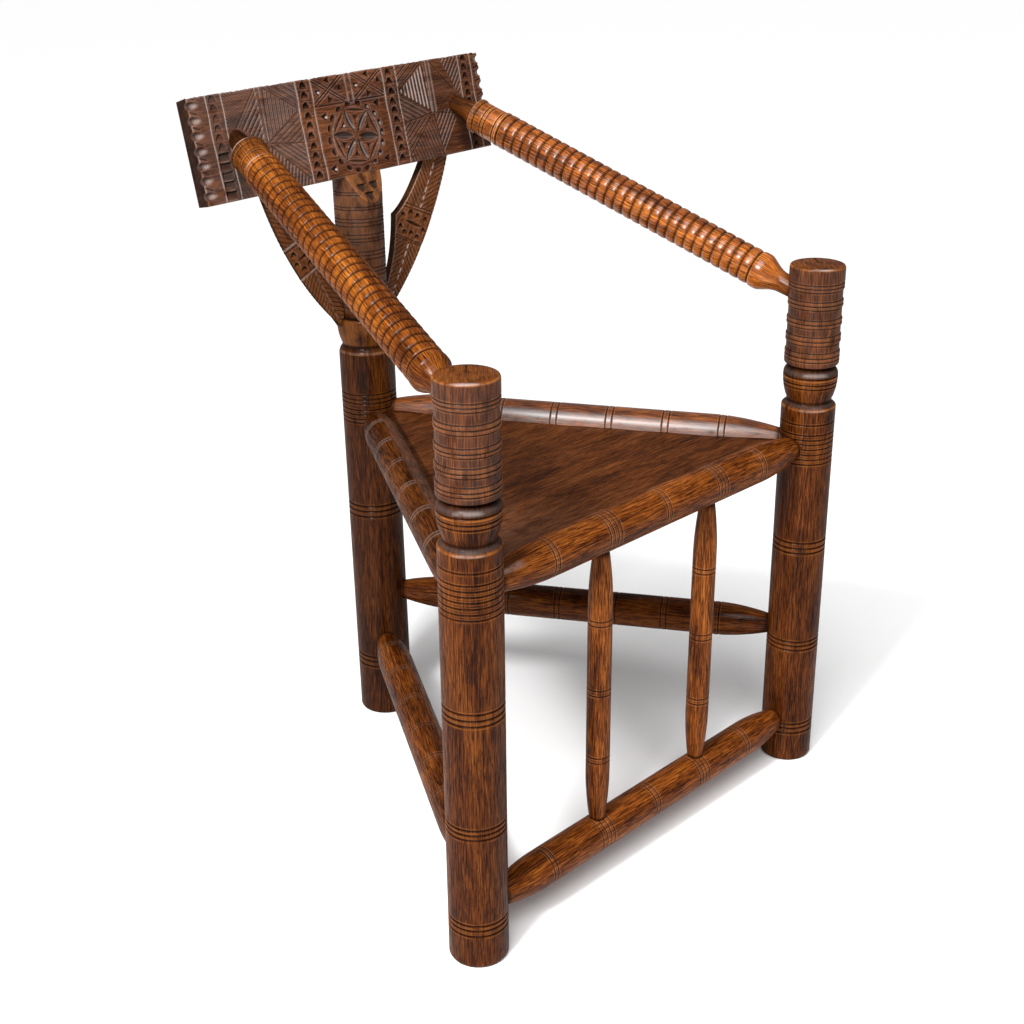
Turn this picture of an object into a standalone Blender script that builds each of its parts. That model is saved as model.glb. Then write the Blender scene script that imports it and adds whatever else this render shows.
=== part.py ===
# Three-legged turned armchair with a triangular seat. Metres, +Z up, front towards -Y.
# Right and left are the sitter's. The origin is on the floor under the middle of the chair.
import math

import bmesh
import bpy
from mathutils import Matrix, Quaternion, Vector

for leftover in list(bpy.data.objects):
    bpy.data.objects.remove(leftover, do_unlink=True)

# Plan of the three posts; the back one leans back and is plumb over its place at the lean height
FRONT_SPAN = 0.600
PLAN_DEPTH = 0.5074
FRONT_RADIUS = 0.0345
BACK_RADIUS = 0.0374
BACK_LEAN = math.tan(math.radians(0.75))
LEAN_HEIGHT = 0.25
CUP_RADIUS = 0.0380
CUP_WIDEST = 0.587
BACK_REACH = PLAN_DEPTH + BACK_LEAN * (CUP_WIDEST - LEAN_HEIGHT) + CUP_RADIUS
FRONT_Y = (FRONT_RADIUS - BACK_REACH) / 2
BACK_Y = FRONT_Y + PLAN_DEPTH
POSTS = {
    "right_front_post": (-FRONT_SPAN / 2, FRONT_Y, FRONT_RADIUS, 0.0),
    "left_front_post": (FRONT_SPAN / 2, FRONT_Y, FRONT_RADIUS, 0.0),
    "back_post": (0.0, BACK_Y, BACK_RADIUS, BACK_LEAN),
}

# Front posts: heights and radii
FRONT_HEIGHT = 0.692
DRUM_FOOT = 0.568
DRUM_CUT_RADIUS = 0.0276
NECK_HEIGHT = 0.518
NECK_RADIUS = 0.0284
BAND_RADIUS = 0.0331
CAP_FOOT = 0.661
FRONT_BEADS = (0.580, 0.600, 0.6215, 0.645)
FRONT_RINGS = (0.0512, 0.1784, 0.3217)

# Back post: heights and radii
BACK_HEIGHT = 0.850
BACK_NECK = 0.555
SHAFT_TOP = 0.547
BACK_NECK_RADIUS = 0.0322
CUP_TOP = 0.594
UPPER_RADIUS = 0.0322
BACK_BEADS = (0.679, 0.7013, 0.7218, 0.740)
BACK_RINGS = (0.0847, 0.3203)

# Turned decoration of the posts: pairs of beads, and rings cut in threes
BEAD_HALF = 0.0055
BEAD_RISE = 0.0013
RING_SPACING = 0.0068
RING_WIDTH = 0.0036
RING_DEPTH = 0.0014
EDGE_EASE = 0.004

# Joints: clearance, distance of a rail's tip from the post's axis, taper of its tenon
JOINT_GAP = 0.0003
TENON_TIP = 0.022
TENON_DRAFT = 0.0038

# Rails: start post, end post, start height, end height, radius, end radius, taper length
RAILS = {
    "front_seat_rail": ("right_front_post", "left_front_post", 0.4585, 0.4585, 0.0235, 0.0143, 0.078),
    "right_seat_rail": ("right_front_post", "back_post", 0.4445, 0.4545, 0.0233, 0.0140, 0.070),
    "left_seat_rail": ("left_front_post", "back_post", 0.4625, 0.465, 0.0235, 0.0125, 0.088),
    "front_stretcher": ("right_front_post", "left_front_post", 0.0584, 0.0618, 0.0228, 0.0143, 0.066),
    "right_stretcher": ("right_front_post", "back_post", 0.107, 0.120, 0.0236, 0.0140, 0.070),
    "left_stretcher": ("left_front_post", "back_post", 0.194, 0.189, 0.0229, 0.0135, 0.070),
}
SEAT_RAILS = ("front_seat_rail", "right_seat_rail", "left_seat_rail")

# Seat board: its edge is a tongue let into grooves in the three seat rails, and its field stands clear
SEAT_TOP = 0.466
SEAT_THICKNESS = 0.016
SEAT_TONGUE = 0.013
SEAT_INSET = 0.0155
SEAT_FIELD_INSET = 0.0245

# Spindles between the front stretcher and the front seat rail: foot and head across the front
SPINDLES = {"right_front_spindle": (-0.0985, -0.0965), "left_front_spindle": (0.0920, 0.0965)}
SPINDLE_RADIUS = 0.0145
SPINDLE_END = 0.0095
SPINDLE_TIP = 0.0078
SPINDLE_DEPTH = 0.012
SPINDLE_TAPER = 0.066

# Crest board, raked back and a little out of level
CREST_RAKE = math.radians(11.0)
CREST_TILT = math.radians(1.49)
CREST_LENGTH = 0.4758
CREST_HEIGHT = 0.1265
CREST_THICKNESS = 0.0227
CREST_OFFSET = -0.0015
CREST_FRONT_Y = BACK_Y - 0.0058
CREST_FOOT = 0.7819
CREST_EASE = 0.0015

# Facet pared on the back post from the crest's lower front edge out to the post's face
FACET_FOOT = 0.747

# Arms: post, middle of the neck on the crest's face, height on the post's axis
ARMS = {
    "right_arm": ("right_front_post", (-0.1829, FRONT_Y + 0.5141, 0.8462), 0.6486),
    "left_arm": ("left_front_post", (0.1783, FRONT_Y + 0.5149, 0.8501), 0.6454),
}
ARM_RING_COUNT = 29
ARM_RING_START = 0.0845
ARM_RING_STOP = 0.0862
ARM_RING_RADIUS = 0.0233
ARM_GROOVE_RADIUS = 0.0213
ARM_COLLAR_RADIUS = 0.0218
ARM_BULB_RADIUS = 0.0238
ARM_CREST_TENON = 0.015
ARM_POST_TIP = 0.012

# Braces: vertical boards from the crest down to the back post, as (distance from middle, height).
# Each outer side is hewn back behind the face.
BRACES = {"right_brace": -1, "left_brace": 1}
BRACE_FRONT_Y = BACK_Y + 0.0051
BRACE_THICKNESS = 0.012
BRACE_HEWN = 0.0065
BRACE_FOOT = 0.595
BRACE_INNER_FOOT = (0.0328, 0.606)
BRACE_INNER_PULL = (0.0616, 0.6486)
BRACE_CUSP = (0.0641, 0.7169)
BRACE_UPPER_PULL = (0.0917, 0.7315)
BRACE_INNER_TOP = (0.1268, 0.800)
BRACE_OUTER_TOP = (0.1655, 0.800)
BRACE_OUTER_PULL = (0.1300, 0.6755)
BRACE_OUTER_FOOT = (0.0510, BRACE_FOOT)
BRACE_STEPS = 5
BRACE_TENON = 0.0076
BRACE_TENONS = {"crest_rail": (0.1240, 0.1460, 0.772, 0.7925), "back_post": (0.0215, 0.0400, 0.5975, 0.612)}

# Sides of the turnings
POST_SIDES = 16
RAIL_SIDES = 12
ARM_SIDES = 12
SPINDLE_SIDES = 10

# Waxed oak on each kind of piece: linear red, green, blue and roughness
POST_OAK = (0.135, 0.052, 0.022, 0.34)
RAIL_OAK = (0.170, 0.068, 0.026, 0.36)
ARM_OAK = (0.280, 0.105, 0.030, 0.32)
CREST_OAK = (0.075, 0.036, 0.022, 0.42)
SEAT_OAK = (0.095, 0.042, 0.022, 0.40)


def add_body(name, mesh, oak=None):
    # A body without oak is a cutter
    body = bpy.data.objects.new(name, mesh)
    bpy.context.scene.collection.objects.link(body)
    if oak:
        material = bpy.data.materials.new(name + "_oak")
        material.use_nodes = True
        shader = material.node_tree.nodes["Principled BSDF"]
        shader.inputs["Base Color"].default_value = (oak[0], oak[1], oak[2], 1.0)
        shader.inputs["Roughness"].default_value = oak[3]
        shader.inputs["Metallic"].default_value = 0.0
        mesh.materials.append(material)
    else:
        body.hide_render = True
        body.display_type = "WIRE"
    return body


def turned(name, start, end, outline, sides, oak=None):
    # The outline is (distance along the axis from start, radius); a Screw turns it about the axis.
    # Posts have a corner on each plan axis, and the other turnings a flat.
    profile = [(0.0, outline[-1][0])]
    profile += [(radius, along) for along, radius in reversed(outline)]
    profile.append((0.0, outline[0][0]))
    mesh = bpy.data.meshes.new(name)
    links = [(place, place + 1) for place in range(len(profile) - 1)]
    mesh.from_pydata([(radius, 0.0, along) for radius, along in profile], links, [])
    body = add_body(name, mesh, oak)
    body.location = start
    body.rotation_mode = "QUATERNION"
    spin = Quaternion((0, 0, 1), 0.0 if sides == POST_SIDES else math.pi / sides)
    body.rotation_quaternion = (Vector(end) - Vector(start)).to_track_quat("Z", "Y") @ spin
    lathe = body.modifiers.new("lathe", "SCREW")
    lathe.axis = "Z"
    lathe.steps = sides
    lathe.render_steps = sides
    lathe.use_merge_vertices = True
    lathe.merge_threshold = 0.00001
    lathe.use_smooth_shade = True
    return body


def board(name, outline, direction, oak=None):
    # A flat outline pushed out along the direction
    shape = bmesh.new()
    face = shape.faces.new([shape.verts.new(point) for point in outline])
    pushed = bmesh.ops.extrude_face_region(shape, geom=[face])
    moved = [item for item in pushed["geom"] if isinstance(item, bmesh.types.BMVert)]
    bmesh.ops.translate(shape, verts=moved, vec=direction)
    bmesh.ops.recalc_face_normals(shape, faces=shape.faces)
    mesh = bpy.data.meshes.new(name)
    shape.to_mesh(mesh)
    shape.free()
    return add_body(name, mesh, oak)


def block(name, low, high, oak=None):
    shape = bmesh.new()
    bmesh.ops.create_cube(shape, size=1.0)
    size = [top - bottom for bottom, top in zip(low, high)]
    middle = [(top + bottom) / 2 for bottom, top in zip(low, high)]
    bmesh.ops.scale(shape, verts=shape.verts, vec=size)
    bmesh.ops.translate(shape, verts=shape.verts, vec=middle)
    mesh = bpy.data.meshes.new(name)
    shape.to_mesh(mesh)
    shape.free()
    return add_body(name, mesh, oak)


def combine(body, tool, operation="DIFFERENCE"):
    step = body.modifiers.new(tool.name, "BOOLEAN")
    step.operation = operation
    step.solver = "EXACT"
    step.object = tool


def triple_ring(middle, radius):
    outline = []
    for place in (-1, 0, 1):
        centre = middle + place * RING_SPACING
        outline.append((centre - RING_WIDTH / 2, radius))
        outline.append((centre, radius - RING_DEPTH))
        outline.append((centre + RING_WIDTH / 2, radius))
    return outline


def double_bead(middle, radius, rise):
    quarter = BEAD_HALF / 2
    return [
        (middle - BEAD_HALF, radius), (middle - quarter, radius + rise), (middle, radius),
        (middle + quarter, radius + rise), (middle + BEAD_HALF, radius),
    ]


def bowl(neck, neck_radius, rim, rim_radius, steps):
    # Hollow-footed bowl that swells from a neck to a rounded rim
    outline = []
    for step in range(steps + 1):
        share = step / steps
        radius = neck_radius + (rim_radius - neck_radius) * math.sin(share * math.pi / 2)
        outline.append((neck + (rim - neck) * share, radius))
    return outline


def post_axis(name, height):
    x, y, radius, lean = POSTS[name]
    return Vector((x, y + lean * (height - LEAN_HEIGHT), height))


def front_post_outline():
    outline = [(0.0, FRONT_RADIUS - EDGE_EASE), (EDGE_EASE, FRONT_RADIUS)]
    for height in FRONT_RINGS:
        outline += triple_ring(height, FRONT_RADIUS)
    outline += [
        (NECK_HEIGHT - 0.013, FRONT_RADIUS), (NECK_HEIGHT - 0.007, 0.0330), (NECK_HEIGHT - 0.003, 0.0300),
    ]
    outline += bowl(NECK_HEIGHT, NECK_RADIUS, 0.551, FRONT_RADIUS, 4)
    outline += [
        (DRUM_FOOT - 0.011, 0.0337), (DRUM_FOOT - 0.007, 0.0313), (DRUM_FOOT - 0.003, DRUM_CUT_RADIUS),
        (DRUM_FOOT, 0.0334), (DRUM_FOOT + 0.002, FRONT_RADIUS), (DRUM_FOOT + 0.005, FRONT_RADIUS),
    ]
    for height in FRONT_BEADS:
        outline += double_bead(height, BAND_RADIUS, BEAD_RISE)
    outline += [
        (CAP_FOOT, BAND_RADIUS), (CAP_FOOT + 0.003, FRONT_RADIUS),
        (FRONT_HEIGHT - EDGE_EASE, FRONT_RADIUS), (FRONT_HEIGHT, FRONT_RADIUS - EDGE_EASE),
    ]
    return outline


def back_post_outline():
    # The foot runs on below the floor, where it is cut level
    outline = [(-EDGE_EASE / 2, BACK_RADIUS - 1.5 * EDGE_EASE), (EDGE_EASE, BACK_RADIUS)]
    for height in BACK_RINGS:
        outline += triple_ring(height, BACK_RADIUS)
    outline += [(SHAFT_TOP, BACK_RADIUS), (BACK_NECK - 0.004, 0.0350)]
    outline += bowl(BACK_NECK, BACK_NECK_RADIUS, CUP_WIDEST, CUP_RADIUS, 3)
    outline += [(CUP_TOP - 0.002, CUP_RADIUS - 0.0012), (CUP_TOP, UPPER_RADIUS)]
    for height in BACK_BEADS:
        outline += double_bead(height, UPPER_RADIUS - BEAD_RISE, BEAD_RISE)
    outline += [(BACK_HEIGHT - EDGE_EASE, UPPER_RADIUS), (BACK_HEIGHT, UPPER_RADIUS - EDGE_EASE)]
    return outline


def swell(end_radius, full_radius, taper, steps):
    outline = []
    for step in range(steps + 1):
        share = step / steps
        rise = math.sin(share * math.pi / 2) ** 0.9
        outline.append((share * taper, end_radius + (full_radius - end_radius) * rise))
    return outline


def rail_ends(name):
    start_post, end_post, start_height, end_height = RAILS[name][:4]
    start = post_axis(start_post, start_height)
    end = post_axis(end_post, end_height)
    return start, end, POSTS[start_post][2], POSTS[end_post][2]


def rail(name):
    radius, end_radius, taper = RAILS[name][4:]
    start, end, start_face, end_face = rail_ends(name)
    length = (end - start).length
    ramp = swell(end_radius, radius, taper, 5)
    outline = [(TENON_TIP, end_radius - TENON_DRAFT)]
    outline += [(start_face + along, size) for along, size in ramp]
    outline += [(length - end_face - along, size) for along, size in reversed(ramp)]
    outline.append((length - TENON_TIP, end_radius - TENON_DRAFT))
    return turned(name, start, end, outline, RAIL_SIDES, RAIL_OAK)


def socket(holder, name, start, end, face, radius, depth, tip_radius, sides):
    # Tapering hole for a tenon whose face lies at that distance from start
    slope = (radius - tip_radius) / depth
    outline = [
        (face - depth - JOINT_GAP, tip_radius + JOINT_GAP),
        (face + 0.008, radius + slope * 0.008 + JOINT_GAP),
    ]
    combine(bodies[holder], turned(name + "_socket_in_" + holder, start, end, outline, sides))


def rail_sockets(name):
    start_post, end_post = RAILS[name][:2]
    end_radius = RAILS[name][5]
    start, end, start_face, end_face = rail_ends(name)
    tip = end_radius - TENON_DRAFT
    socket(start_post, name, start, end, start_face, end_radius, start_face - TENON_TIP, tip, RAIL_SIDES)
    socket(end_post, name, end, start, end_face, end_radius, end_face - TENON_TIP, tip, RAIL_SIDES)


def rail_point(name, x):
    start, end = rail_ends(name)[:2]
    return start.lerp(end, (x - start.x) / (end.x - start.x))


def spindle(name):
    foot_x, head_x = SPINDLES[name]
    foot = rail_point("front_stretcher", foot_x)
    head = rail_point("front_seat_rail", head_x)
    length = (head - foot).length
    foot_face = RAILS["front_stretcher"][4]
    head_face = RAILS["front_seat_rail"][4]
    ramp = swell(SPINDLE_END, SPINDLE_RADIUS, SPINDLE_TAPER, 4)
    outline = [(foot_face - SPINDLE_DEPTH, SPINDLE_TIP)]
    outline += [(foot_face + along, size) for along, size in ramp]
    outline += [(length - head_face - along, size) for along, size in reversed(ramp)]
    outline.append((length - head_face + SPINDLE_DEPTH, SPINDLE_TIP))
    hole = (SPINDLE_END, SPINDLE_DEPTH, SPINDLE_TIP, SPINDLE_SIDES)
    socket("front_stretcher", name, foot, head, foot_face, *hole)
    socket("front_seat_rail", name, head, foot, head_face, *hole)
    return turned(name, foot, head, outline, SPINDLE_SIDES, RAIL_OAK)


def seat_slab(name, inset, bottom, top, oak=None):
    # A triangle whose sides run at the inset inside the rails' axes
    places = [post_axis(post, SEAT_TOP) for post in POSTS]
    corners = []
    for corner, place in enumerate(places):
        one = (places[corner - 1] - place).normalized()
        other = (places[corner - 2] - place).normalized()
        point = place + (one + other).normalized() * inset / math.sin(one.angle(other) / 2)
        corners.append((point.x, point.y, bottom))
    return board(name, corners, (0, 0, top - bottom), oak)


def seat_panel():
    bottom = SEAT_TOP - SEAT_THICKNESS
    panel = seat_slab("seat_panel", SEAT_INSET, bottom, bottom + SEAT_TONGUE, SEAT_OAK)
    field = seat_slab("seat_field", SEAT_FIELD_INSET, bottom + SEAT_TONGUE / 2, SEAT_TOP)
    combine(panel, field, "UNION")
    for post in POSTS:
        radius = POSTS[post][2] + JOINT_GAP
        outline = [(0.0, radius), (SEAT_THICKNESS + 0.02, radius)]
        low, high = post_axis(post, bottom - 0.01), post_axis(post, SEAT_TOP + 0.01)
        combine(panel, turned("seat_notch_at_" + post, low, high, outline, POST_SIDES))
    groove_top = bottom + SEAT_TONGUE + JOINT_GAP
    groove = seat_slab("seat_groove", SEAT_INSET - JOINT_GAP, bottom - JOINT_GAP, groove_top)
    for name in SEAT_RAILS:
        combine(bodies[name], groove)
    return panel


def crest_block(name, low, high, oak=None):
    # A block in the crest's own directions: along it, into it from its front, up its face
    body = block(name, low, high, oak)
    rake = Matrix.Rotation(-CREST_RAKE, 4, "X")
    tilt = Matrix.Rotation(-CREST_TILT, 4, "Y")
    body.matrix_world = Matrix.Translation((0, CREST_FRONT_Y, CREST_FOOT)) @ rake @ tilt
    return body


def crest_rail():
    half = CREST_LENGTH / 2
    low, high = (CREST_OFFSET - half, 0.0, 0.0), (CREST_OFFSET + half, CREST_THICKNESS, CREST_HEIGHT)
    body = crest_block("crest_rail", low, high, CREST_OAK)
    ease = body.modifiers.new("eased_edges", "BEVEL")
    ease.width = CREST_EASE
    ease.segments = 1
    # The post is halved to take the crest, and below it is pared back to the crest's face
    reach = 2 * BACK_RADIUS
    lap = crest_block("crest_lap", (-reach, -reach, -JOINT_GAP), (reach, CREST_THICKNESS + JOINT_GAP, 0.2))
    combine(bodies["back_post"], lap)
    post_face = post_axis("back_post", FACET_FOOT).y - UPPER_RADIUS
    pared = [(post_face, FACET_FOOT), (CREST_FRONT_Y, CREST_FOOT), (post_face - 0.01, CREST_FOOT)]
    facet = board("crest_facet", [(-reach, y, z) for y, z in pared], (2 * reach, 0, 0))
    combine(bodies["back_post"], facet)
    return body


def sweep(start, pull, end):
    # Points of a curve that leaves start towards pull and comes to end from there
    points = []
    for step in range(BRACE_STEPS + 1):
        share = step / BRACE_STEPS
        near = Vector(start).lerp(Vector(pull), share)
        far = Vector(pull).lerp(Vector(end), share)
        points.append(near.lerp(far, share))
    return points


def brace(name, above_crest_foot):
    side = BRACES[name]
    lower = sweep(BRACE_INNER_FOOT, BRACE_INNER_PULL, BRACE_CUSP)
    upper = sweep(BRACE_CUSP, BRACE_UPPER_PULL, BRACE_INNER_TOP)
    inner = [Vector((BRACE_INNER_FOOT[0], BRACE_FOOT))] + lower + upper[1:]
    outer = sweep(BRACE_OUTER_TOP, BRACE_OUTER_PULL, BRACE_OUTER_FOOT)
    outline = [(side * x, BRACE_FRONT_Y, height) for x, height in inner + outer]
    body = board(name, outline, (0, BRACE_THICKNESS, 0), CREST_OAK)
    # The pushed-out copy of the outline comes after it, in the same order
    for place in range(len(outline) + len(inner), 2 * len(outline)):
        body.data.vertices[place].co.x -= side * BRACE_HEWN
    combine(body, above_crest_foot)
    front = BRACE_FRONT_Y + (BRACE_THICKNESS - BRACE_TENON) / 2
    gap = Vector((JOINT_GAP, JOINT_GAP, JOINT_GAP))
    for holder, (near, far, bottom, top) in BRACE_TENONS.items():
        ends = sorted((side * near, side * far))
        low, high = Vector((ends[0], front, bottom)), Vector((ends[1], front + BRACE_TENON, top))
        combine(body, block(name + "_tenon_in_" + holder, low, high), "UNION")
        combine(bodies[holder], block(name + "_mortise_in_" + holder, low - gap, high + gap))
    return body


def arm_outline(length):
    # From the crest: tenon, plain neck, ring, collar, ring, the run of rings, bulb, neck and tenon
    full, groove, collar = ARM_RING_RADIUS, ARM_GROOVE_RADIUS, ARM_COLLAR_RADIUS
    ring_stop = length - ARM_RING_STOP
    pitch = (ring_stop - ARM_RING_START) / ARM_RING_COUNT
    outline = [
        (-ARM_CREST_TENON, 0.0076), (0.0340, 0.0150), (0.0355, 0.0195), (0.0385, full), (0.0422, full),
        (0.0453, 0.0205), (0.0468, collar), (0.0765, collar), (0.0775, 0.0205), (0.0796, full),
        (0.0826, full),
    ]
    for ring in range(ARM_RING_COUNT):
        begin = ARM_RING_START + ring * pitch
        outline += [(begin, groove), (begin + 0.22 * pitch, full), (begin + 0.78 * pitch, full)]
    outline += [
        (ring_stop, groove), (ring_stop + 0.004, ARM_BULB_RADIUS), (ring_stop + 0.0125, ARM_BULB_RADIUS),
        (length - 0.066, 0.0190), (length - 0.058, 0.0152), (length - 0.050, 0.0131),
        (length - 0.037, 0.0126), (length - ARM_POST_TIP, 0.0098),
    ]
    return outline


def arm(name):
    post, crest_end, post_height = ARMS[name]
    start = Vector(crest_end)
    end = post_axis(post, post_height)
    length = (end - start).length
    outline = arm_outline(length)
    (tip, tip_radius), (neck, neck_radius) = outline[0], outline[1]
    face = neck - 0.010
    socket("crest_rail", name, start, end, face, neck_radius - 0.0015, face - tip, tip_radius, ARM_SIDES)
    (neck, neck_radius), (tip, tip_radius) = outline[-2], outline[-1]
    socket(post, name, end, start, length - neck, neck_radius, tip - neck, tip_radius, ARM_SIDES)
    return turned(name, start, end, outline, ARM_SIDES, ARM_OAK)


bodies = {}
for name in POSTS:
    profile = back_post_outline() if name == "back_post" else front_post_outline()
    bodies[name] = turned(name, post_axis(name, 0.0), post_axis(name, 1.0), profile, POST_SIDES, POST_OAK)
combine(bodies["back_post"], block("floor", (-0.1, BACK_Y - 0.1, -0.05), (0.1, BACK_Y + 0.1, 0.0)))
for name in RAILS:
    bodies[name] = rail(name)
    rail_sockets(name)
for name in SPINDLES:
    bodies[name] = spindle(name)
bodies["seat_panel"] = seat_panel()
bodies["crest_rail"] = crest_rail()
half_crest = CREST_LENGTH / 2
crest_space = crest_block("above_crest_foot", (-half_crest, -0.05, -JOINT_GAP), (half_crest, 0.08, 0.2))
for name in BRACES:
    bodies[name] = brace(name, crest_space)
for name in ARMS:
    bodies[name] = arm(name)
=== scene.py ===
# Turned armchair: oak, wear, fine grooves, chip carving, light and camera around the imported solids
import math

import bmesh
import bpy
import numpy as np
from mathutils import Matrix, Vector


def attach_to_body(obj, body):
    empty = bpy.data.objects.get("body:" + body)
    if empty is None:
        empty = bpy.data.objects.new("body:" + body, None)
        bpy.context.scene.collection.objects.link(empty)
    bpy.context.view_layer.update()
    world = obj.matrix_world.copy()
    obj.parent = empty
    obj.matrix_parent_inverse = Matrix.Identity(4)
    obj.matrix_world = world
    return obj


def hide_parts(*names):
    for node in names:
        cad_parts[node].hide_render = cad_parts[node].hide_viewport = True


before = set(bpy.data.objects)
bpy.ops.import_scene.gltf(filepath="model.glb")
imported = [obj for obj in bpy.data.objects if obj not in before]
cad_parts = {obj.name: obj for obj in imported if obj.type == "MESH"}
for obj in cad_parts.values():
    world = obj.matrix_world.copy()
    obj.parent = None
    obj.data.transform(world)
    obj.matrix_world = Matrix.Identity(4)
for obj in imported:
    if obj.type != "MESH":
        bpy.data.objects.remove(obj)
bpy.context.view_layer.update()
scene = bpy.context.scene
print("frame:", len(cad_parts), "solids")

# plan of the chair, metres; right and left are the sitter's
plan = {
    "frontHalf": 0.300,
    "frontY": -0.25766,
    "backY": 0.24974,
    "backLean": math.tan(math.radians(0.75)),
    "plumbHeight": 0.25,
    "frontRadius": 0.0345,
    "backRadius": 0.0374,
}
mm = 0.001
most = np.maximum
toneLabels = ("cavity", "ridge", "pale")


def unit(values):
    return np.clip(values, 0, 1)


def rising(values, start, run):
    return unit((values - start) / run)


def falling(values, end, run):
    return unit((end - values) / run)


def near(values, middle, half, top=1.0):
    # 1 at the middle of a band, falling to 0 at top times half from it
    return unit(top - np.abs(values - middle) / half)


def within(values, low, high):
    return (values > low) & (values < high)


def postPoint(post, height):
    if post == "back_post":
        lean = plan["backLean"] * (height - plan["plumbHeight"])
        return Vector((0.0, plan["backY"] + lean, height))
    side = -1 if post == "right_front_post" else 1
    return Vector((side * plan["frontHalf"], plan["frontY"], height))


# oak finishes: colours are linear; worn is what shows on ridges, wax what sits in cuts
oakLooks = {
    "postOak": {
        "dark": (0.0090, 0.0016, 0.0002), "body": (0.073, 0.0168, 0.0018), "light": (0.165, 0.048, 0.0075),
        "worn": (0.36, 0.118, 0.024), "wax": (0.005, 0.0018, 0.0008),
        "pores": 0.90, "rough": 0.50, "coat": 0.09,
    },
    "railOak": {
        "dark": (0.013, 0.0024, 0.0003), "body": (0.128, 0.0305, 0.0032), "light": (0.330, 0.096, 0.0140),
        "worn": (0.40, 0.165, 0.065), "wax": (0.005, 0.0018, 0.0008),
        "pores": 0.95, "rough": 0.50, "coat": 0.11,
    },
    "armOak": {
        "dark": (0.022, 0.0042, 0.0003), "body": (0.148, 0.0365, 0.0038), "light": (0.345, 0.1050, 0.0120),
        "worn": (0.52, 0.200, 0.055), "wax": (0.006, 0.0020, 0.0008),
        "pores": 0.95, "rough": 0.50, "coat": 0.13,
    },
    "crestOak": {
        "dark": (0.016, 0.0046, 0.0016), "body": (0.092, 0.0292, 0.0108), "light": (0.176, 0.062, 0.0240),
        "worn": (0.34, 0.215, 0.180), "wax": (0.004, 0.0022, 0.0017),
        "pores": 0.60, "rough": 0.50, "coat": 0.17,
    },
    "braceOak": {
        "dark": (0.022, 0.0050, 0.0009), "body": (0.125, 0.0370, 0.0090), "light": (0.225, 0.077, 0.0203),
        "worn": (0.34, 0.190, 0.130), "wax": (0.004, 0.0020, 0.0012),
        "pores": 0.60, "rough": 0.50, "coat": 0.08,
    },
    "seatOak": {
        "dark": (0.018, 0.0040, 0.0006), "body": (0.078, 0.0200, 0.0034), "light": (0.148, 0.046, 0.0105),
        "worn": (0.24, 0.11, 0.06), "wax": (0.005, 0.0018, 0.0008),
        "pores": 0.85, "rough": 0.55, "coat": 0.06,
    },
}


def toned(look, share, **changes):
    # the same finish painted darker or paler, for a piece in painted shade and a piece in painted light
    brightest = 0.85
    colours = ("dark", "body", "light", "worn")
    shades = {key: tuple(min(part * share, brightest) for part in look[key]) for key in colours}
    return {**look, **shades, **changes}


# painted shade: darker copies for the back post, the near seat rail and the stretchers; painted light: a
# paler copy for the left arm; the far seat rail's copy only has more gloss
oakLooks["shadedPostOak"] = toned(oakLooks["postOak"], 0.53)
oakLooks["shadedRailOak"] = toned(oakLooks["railOak"], 0.70)
oakLooks["deeplyShadedRailOak"] = toned(oakLooks["railOak"], 0.42, coat=0.05)
oakLooks["glossRailOak"] = toned(oakLooks["railOak"], 1.0, coat=1.0, coatRough=0.36)
oakLooks["litArmOak"] = toned(oakLooks["armOak"], 1.88, coat=0.70, coatRough=0.27)

# noises of the oak: scale across, across and along the grain, then detail, roughness and distortion
figure = {
    "broad": ((34, 34, 6.0), 4.0, 0.6, 0.6),
    "streak": ((600, 600, 31), 5.0, 0.66, 0.25),
    "pores": ((820, 820, 52), 3.0, 0.6, 0.0),
    "specks": ((1500, 1500, 140), 2.0, 0.6, 0.0),
    "fleck": ((90, 420, 60), 2.0, 0.5, 0.4),
    "grime": ((60, 60, 40), 4.0, 0.6, 0.0),
}

# how much of each is laid over the ones before, and what it does to the surface
oakMix = {
    "edges": {"pores": (0.51, 0.60), "specks": (0.52, 0.68), "fleck": (0.62, 0.74)},
    "ramp": (0.385, 0.50, 0.635), "streak": 0.6, "broad": 0.4,
    "fleck": 0.28, "pores": 0.80, "specks": 0.30, "ridge": 0.55, "wax": 0.94,
    "ridgeGrime": (0.30, 0.62), "paleSheenGrime": (0.20, 0.52), "waxGrime": 0.5, "waxLeast": 0.68,
    # paleSheen is the colour laid where pale is: paler lips and lines, and painted sheen and highlights
    "paleSheen": (0.46, 0.38, 0.35, 1),
    "roughGrime": 0.22, "roughDrop": 0.11, "roughPores": 0.18, "roughWax": 0.25,
    "bumpPores": -0.6, "bumpSpecks": -0.25, "bumpStreak": 0.35, "bumpStrength": 0.55, "bumpDepth": 0.0006,
    "specular": 0.03, "coatLoss": 0.8, "coatRough": 0.21,
}


def nodeTools(tree):
    # make adds a node and feeds its inputs from links or values; the others are sums made of it
    def make(kind, inputs, output=0, **settings):
        node = tree.nodes.new(kind)
        for key, value in settings.items():
            setattr(node, key, value)
        for key, value in inputs.items():
            if isinstance(value, bpy.types.NodeSocket):
                tree.links.new(value, node.inputs[key])
            else:
                node.inputs[key].default_value = value
        return node.outputs[output]

    def calc(operation, first, second=0.0, clamp=False):
        return make("ShaderNodeMath", {0: first, 1: second}, operation=operation, use_clamp=clamp)

    def times(first, second, clamp=False):
        return calc("MULTIPLY", first, second, clamp)

    def plus(first, second, clamp=False):
        return calc("ADD", first, second, clamp)

    return make, calc, times, plus


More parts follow.
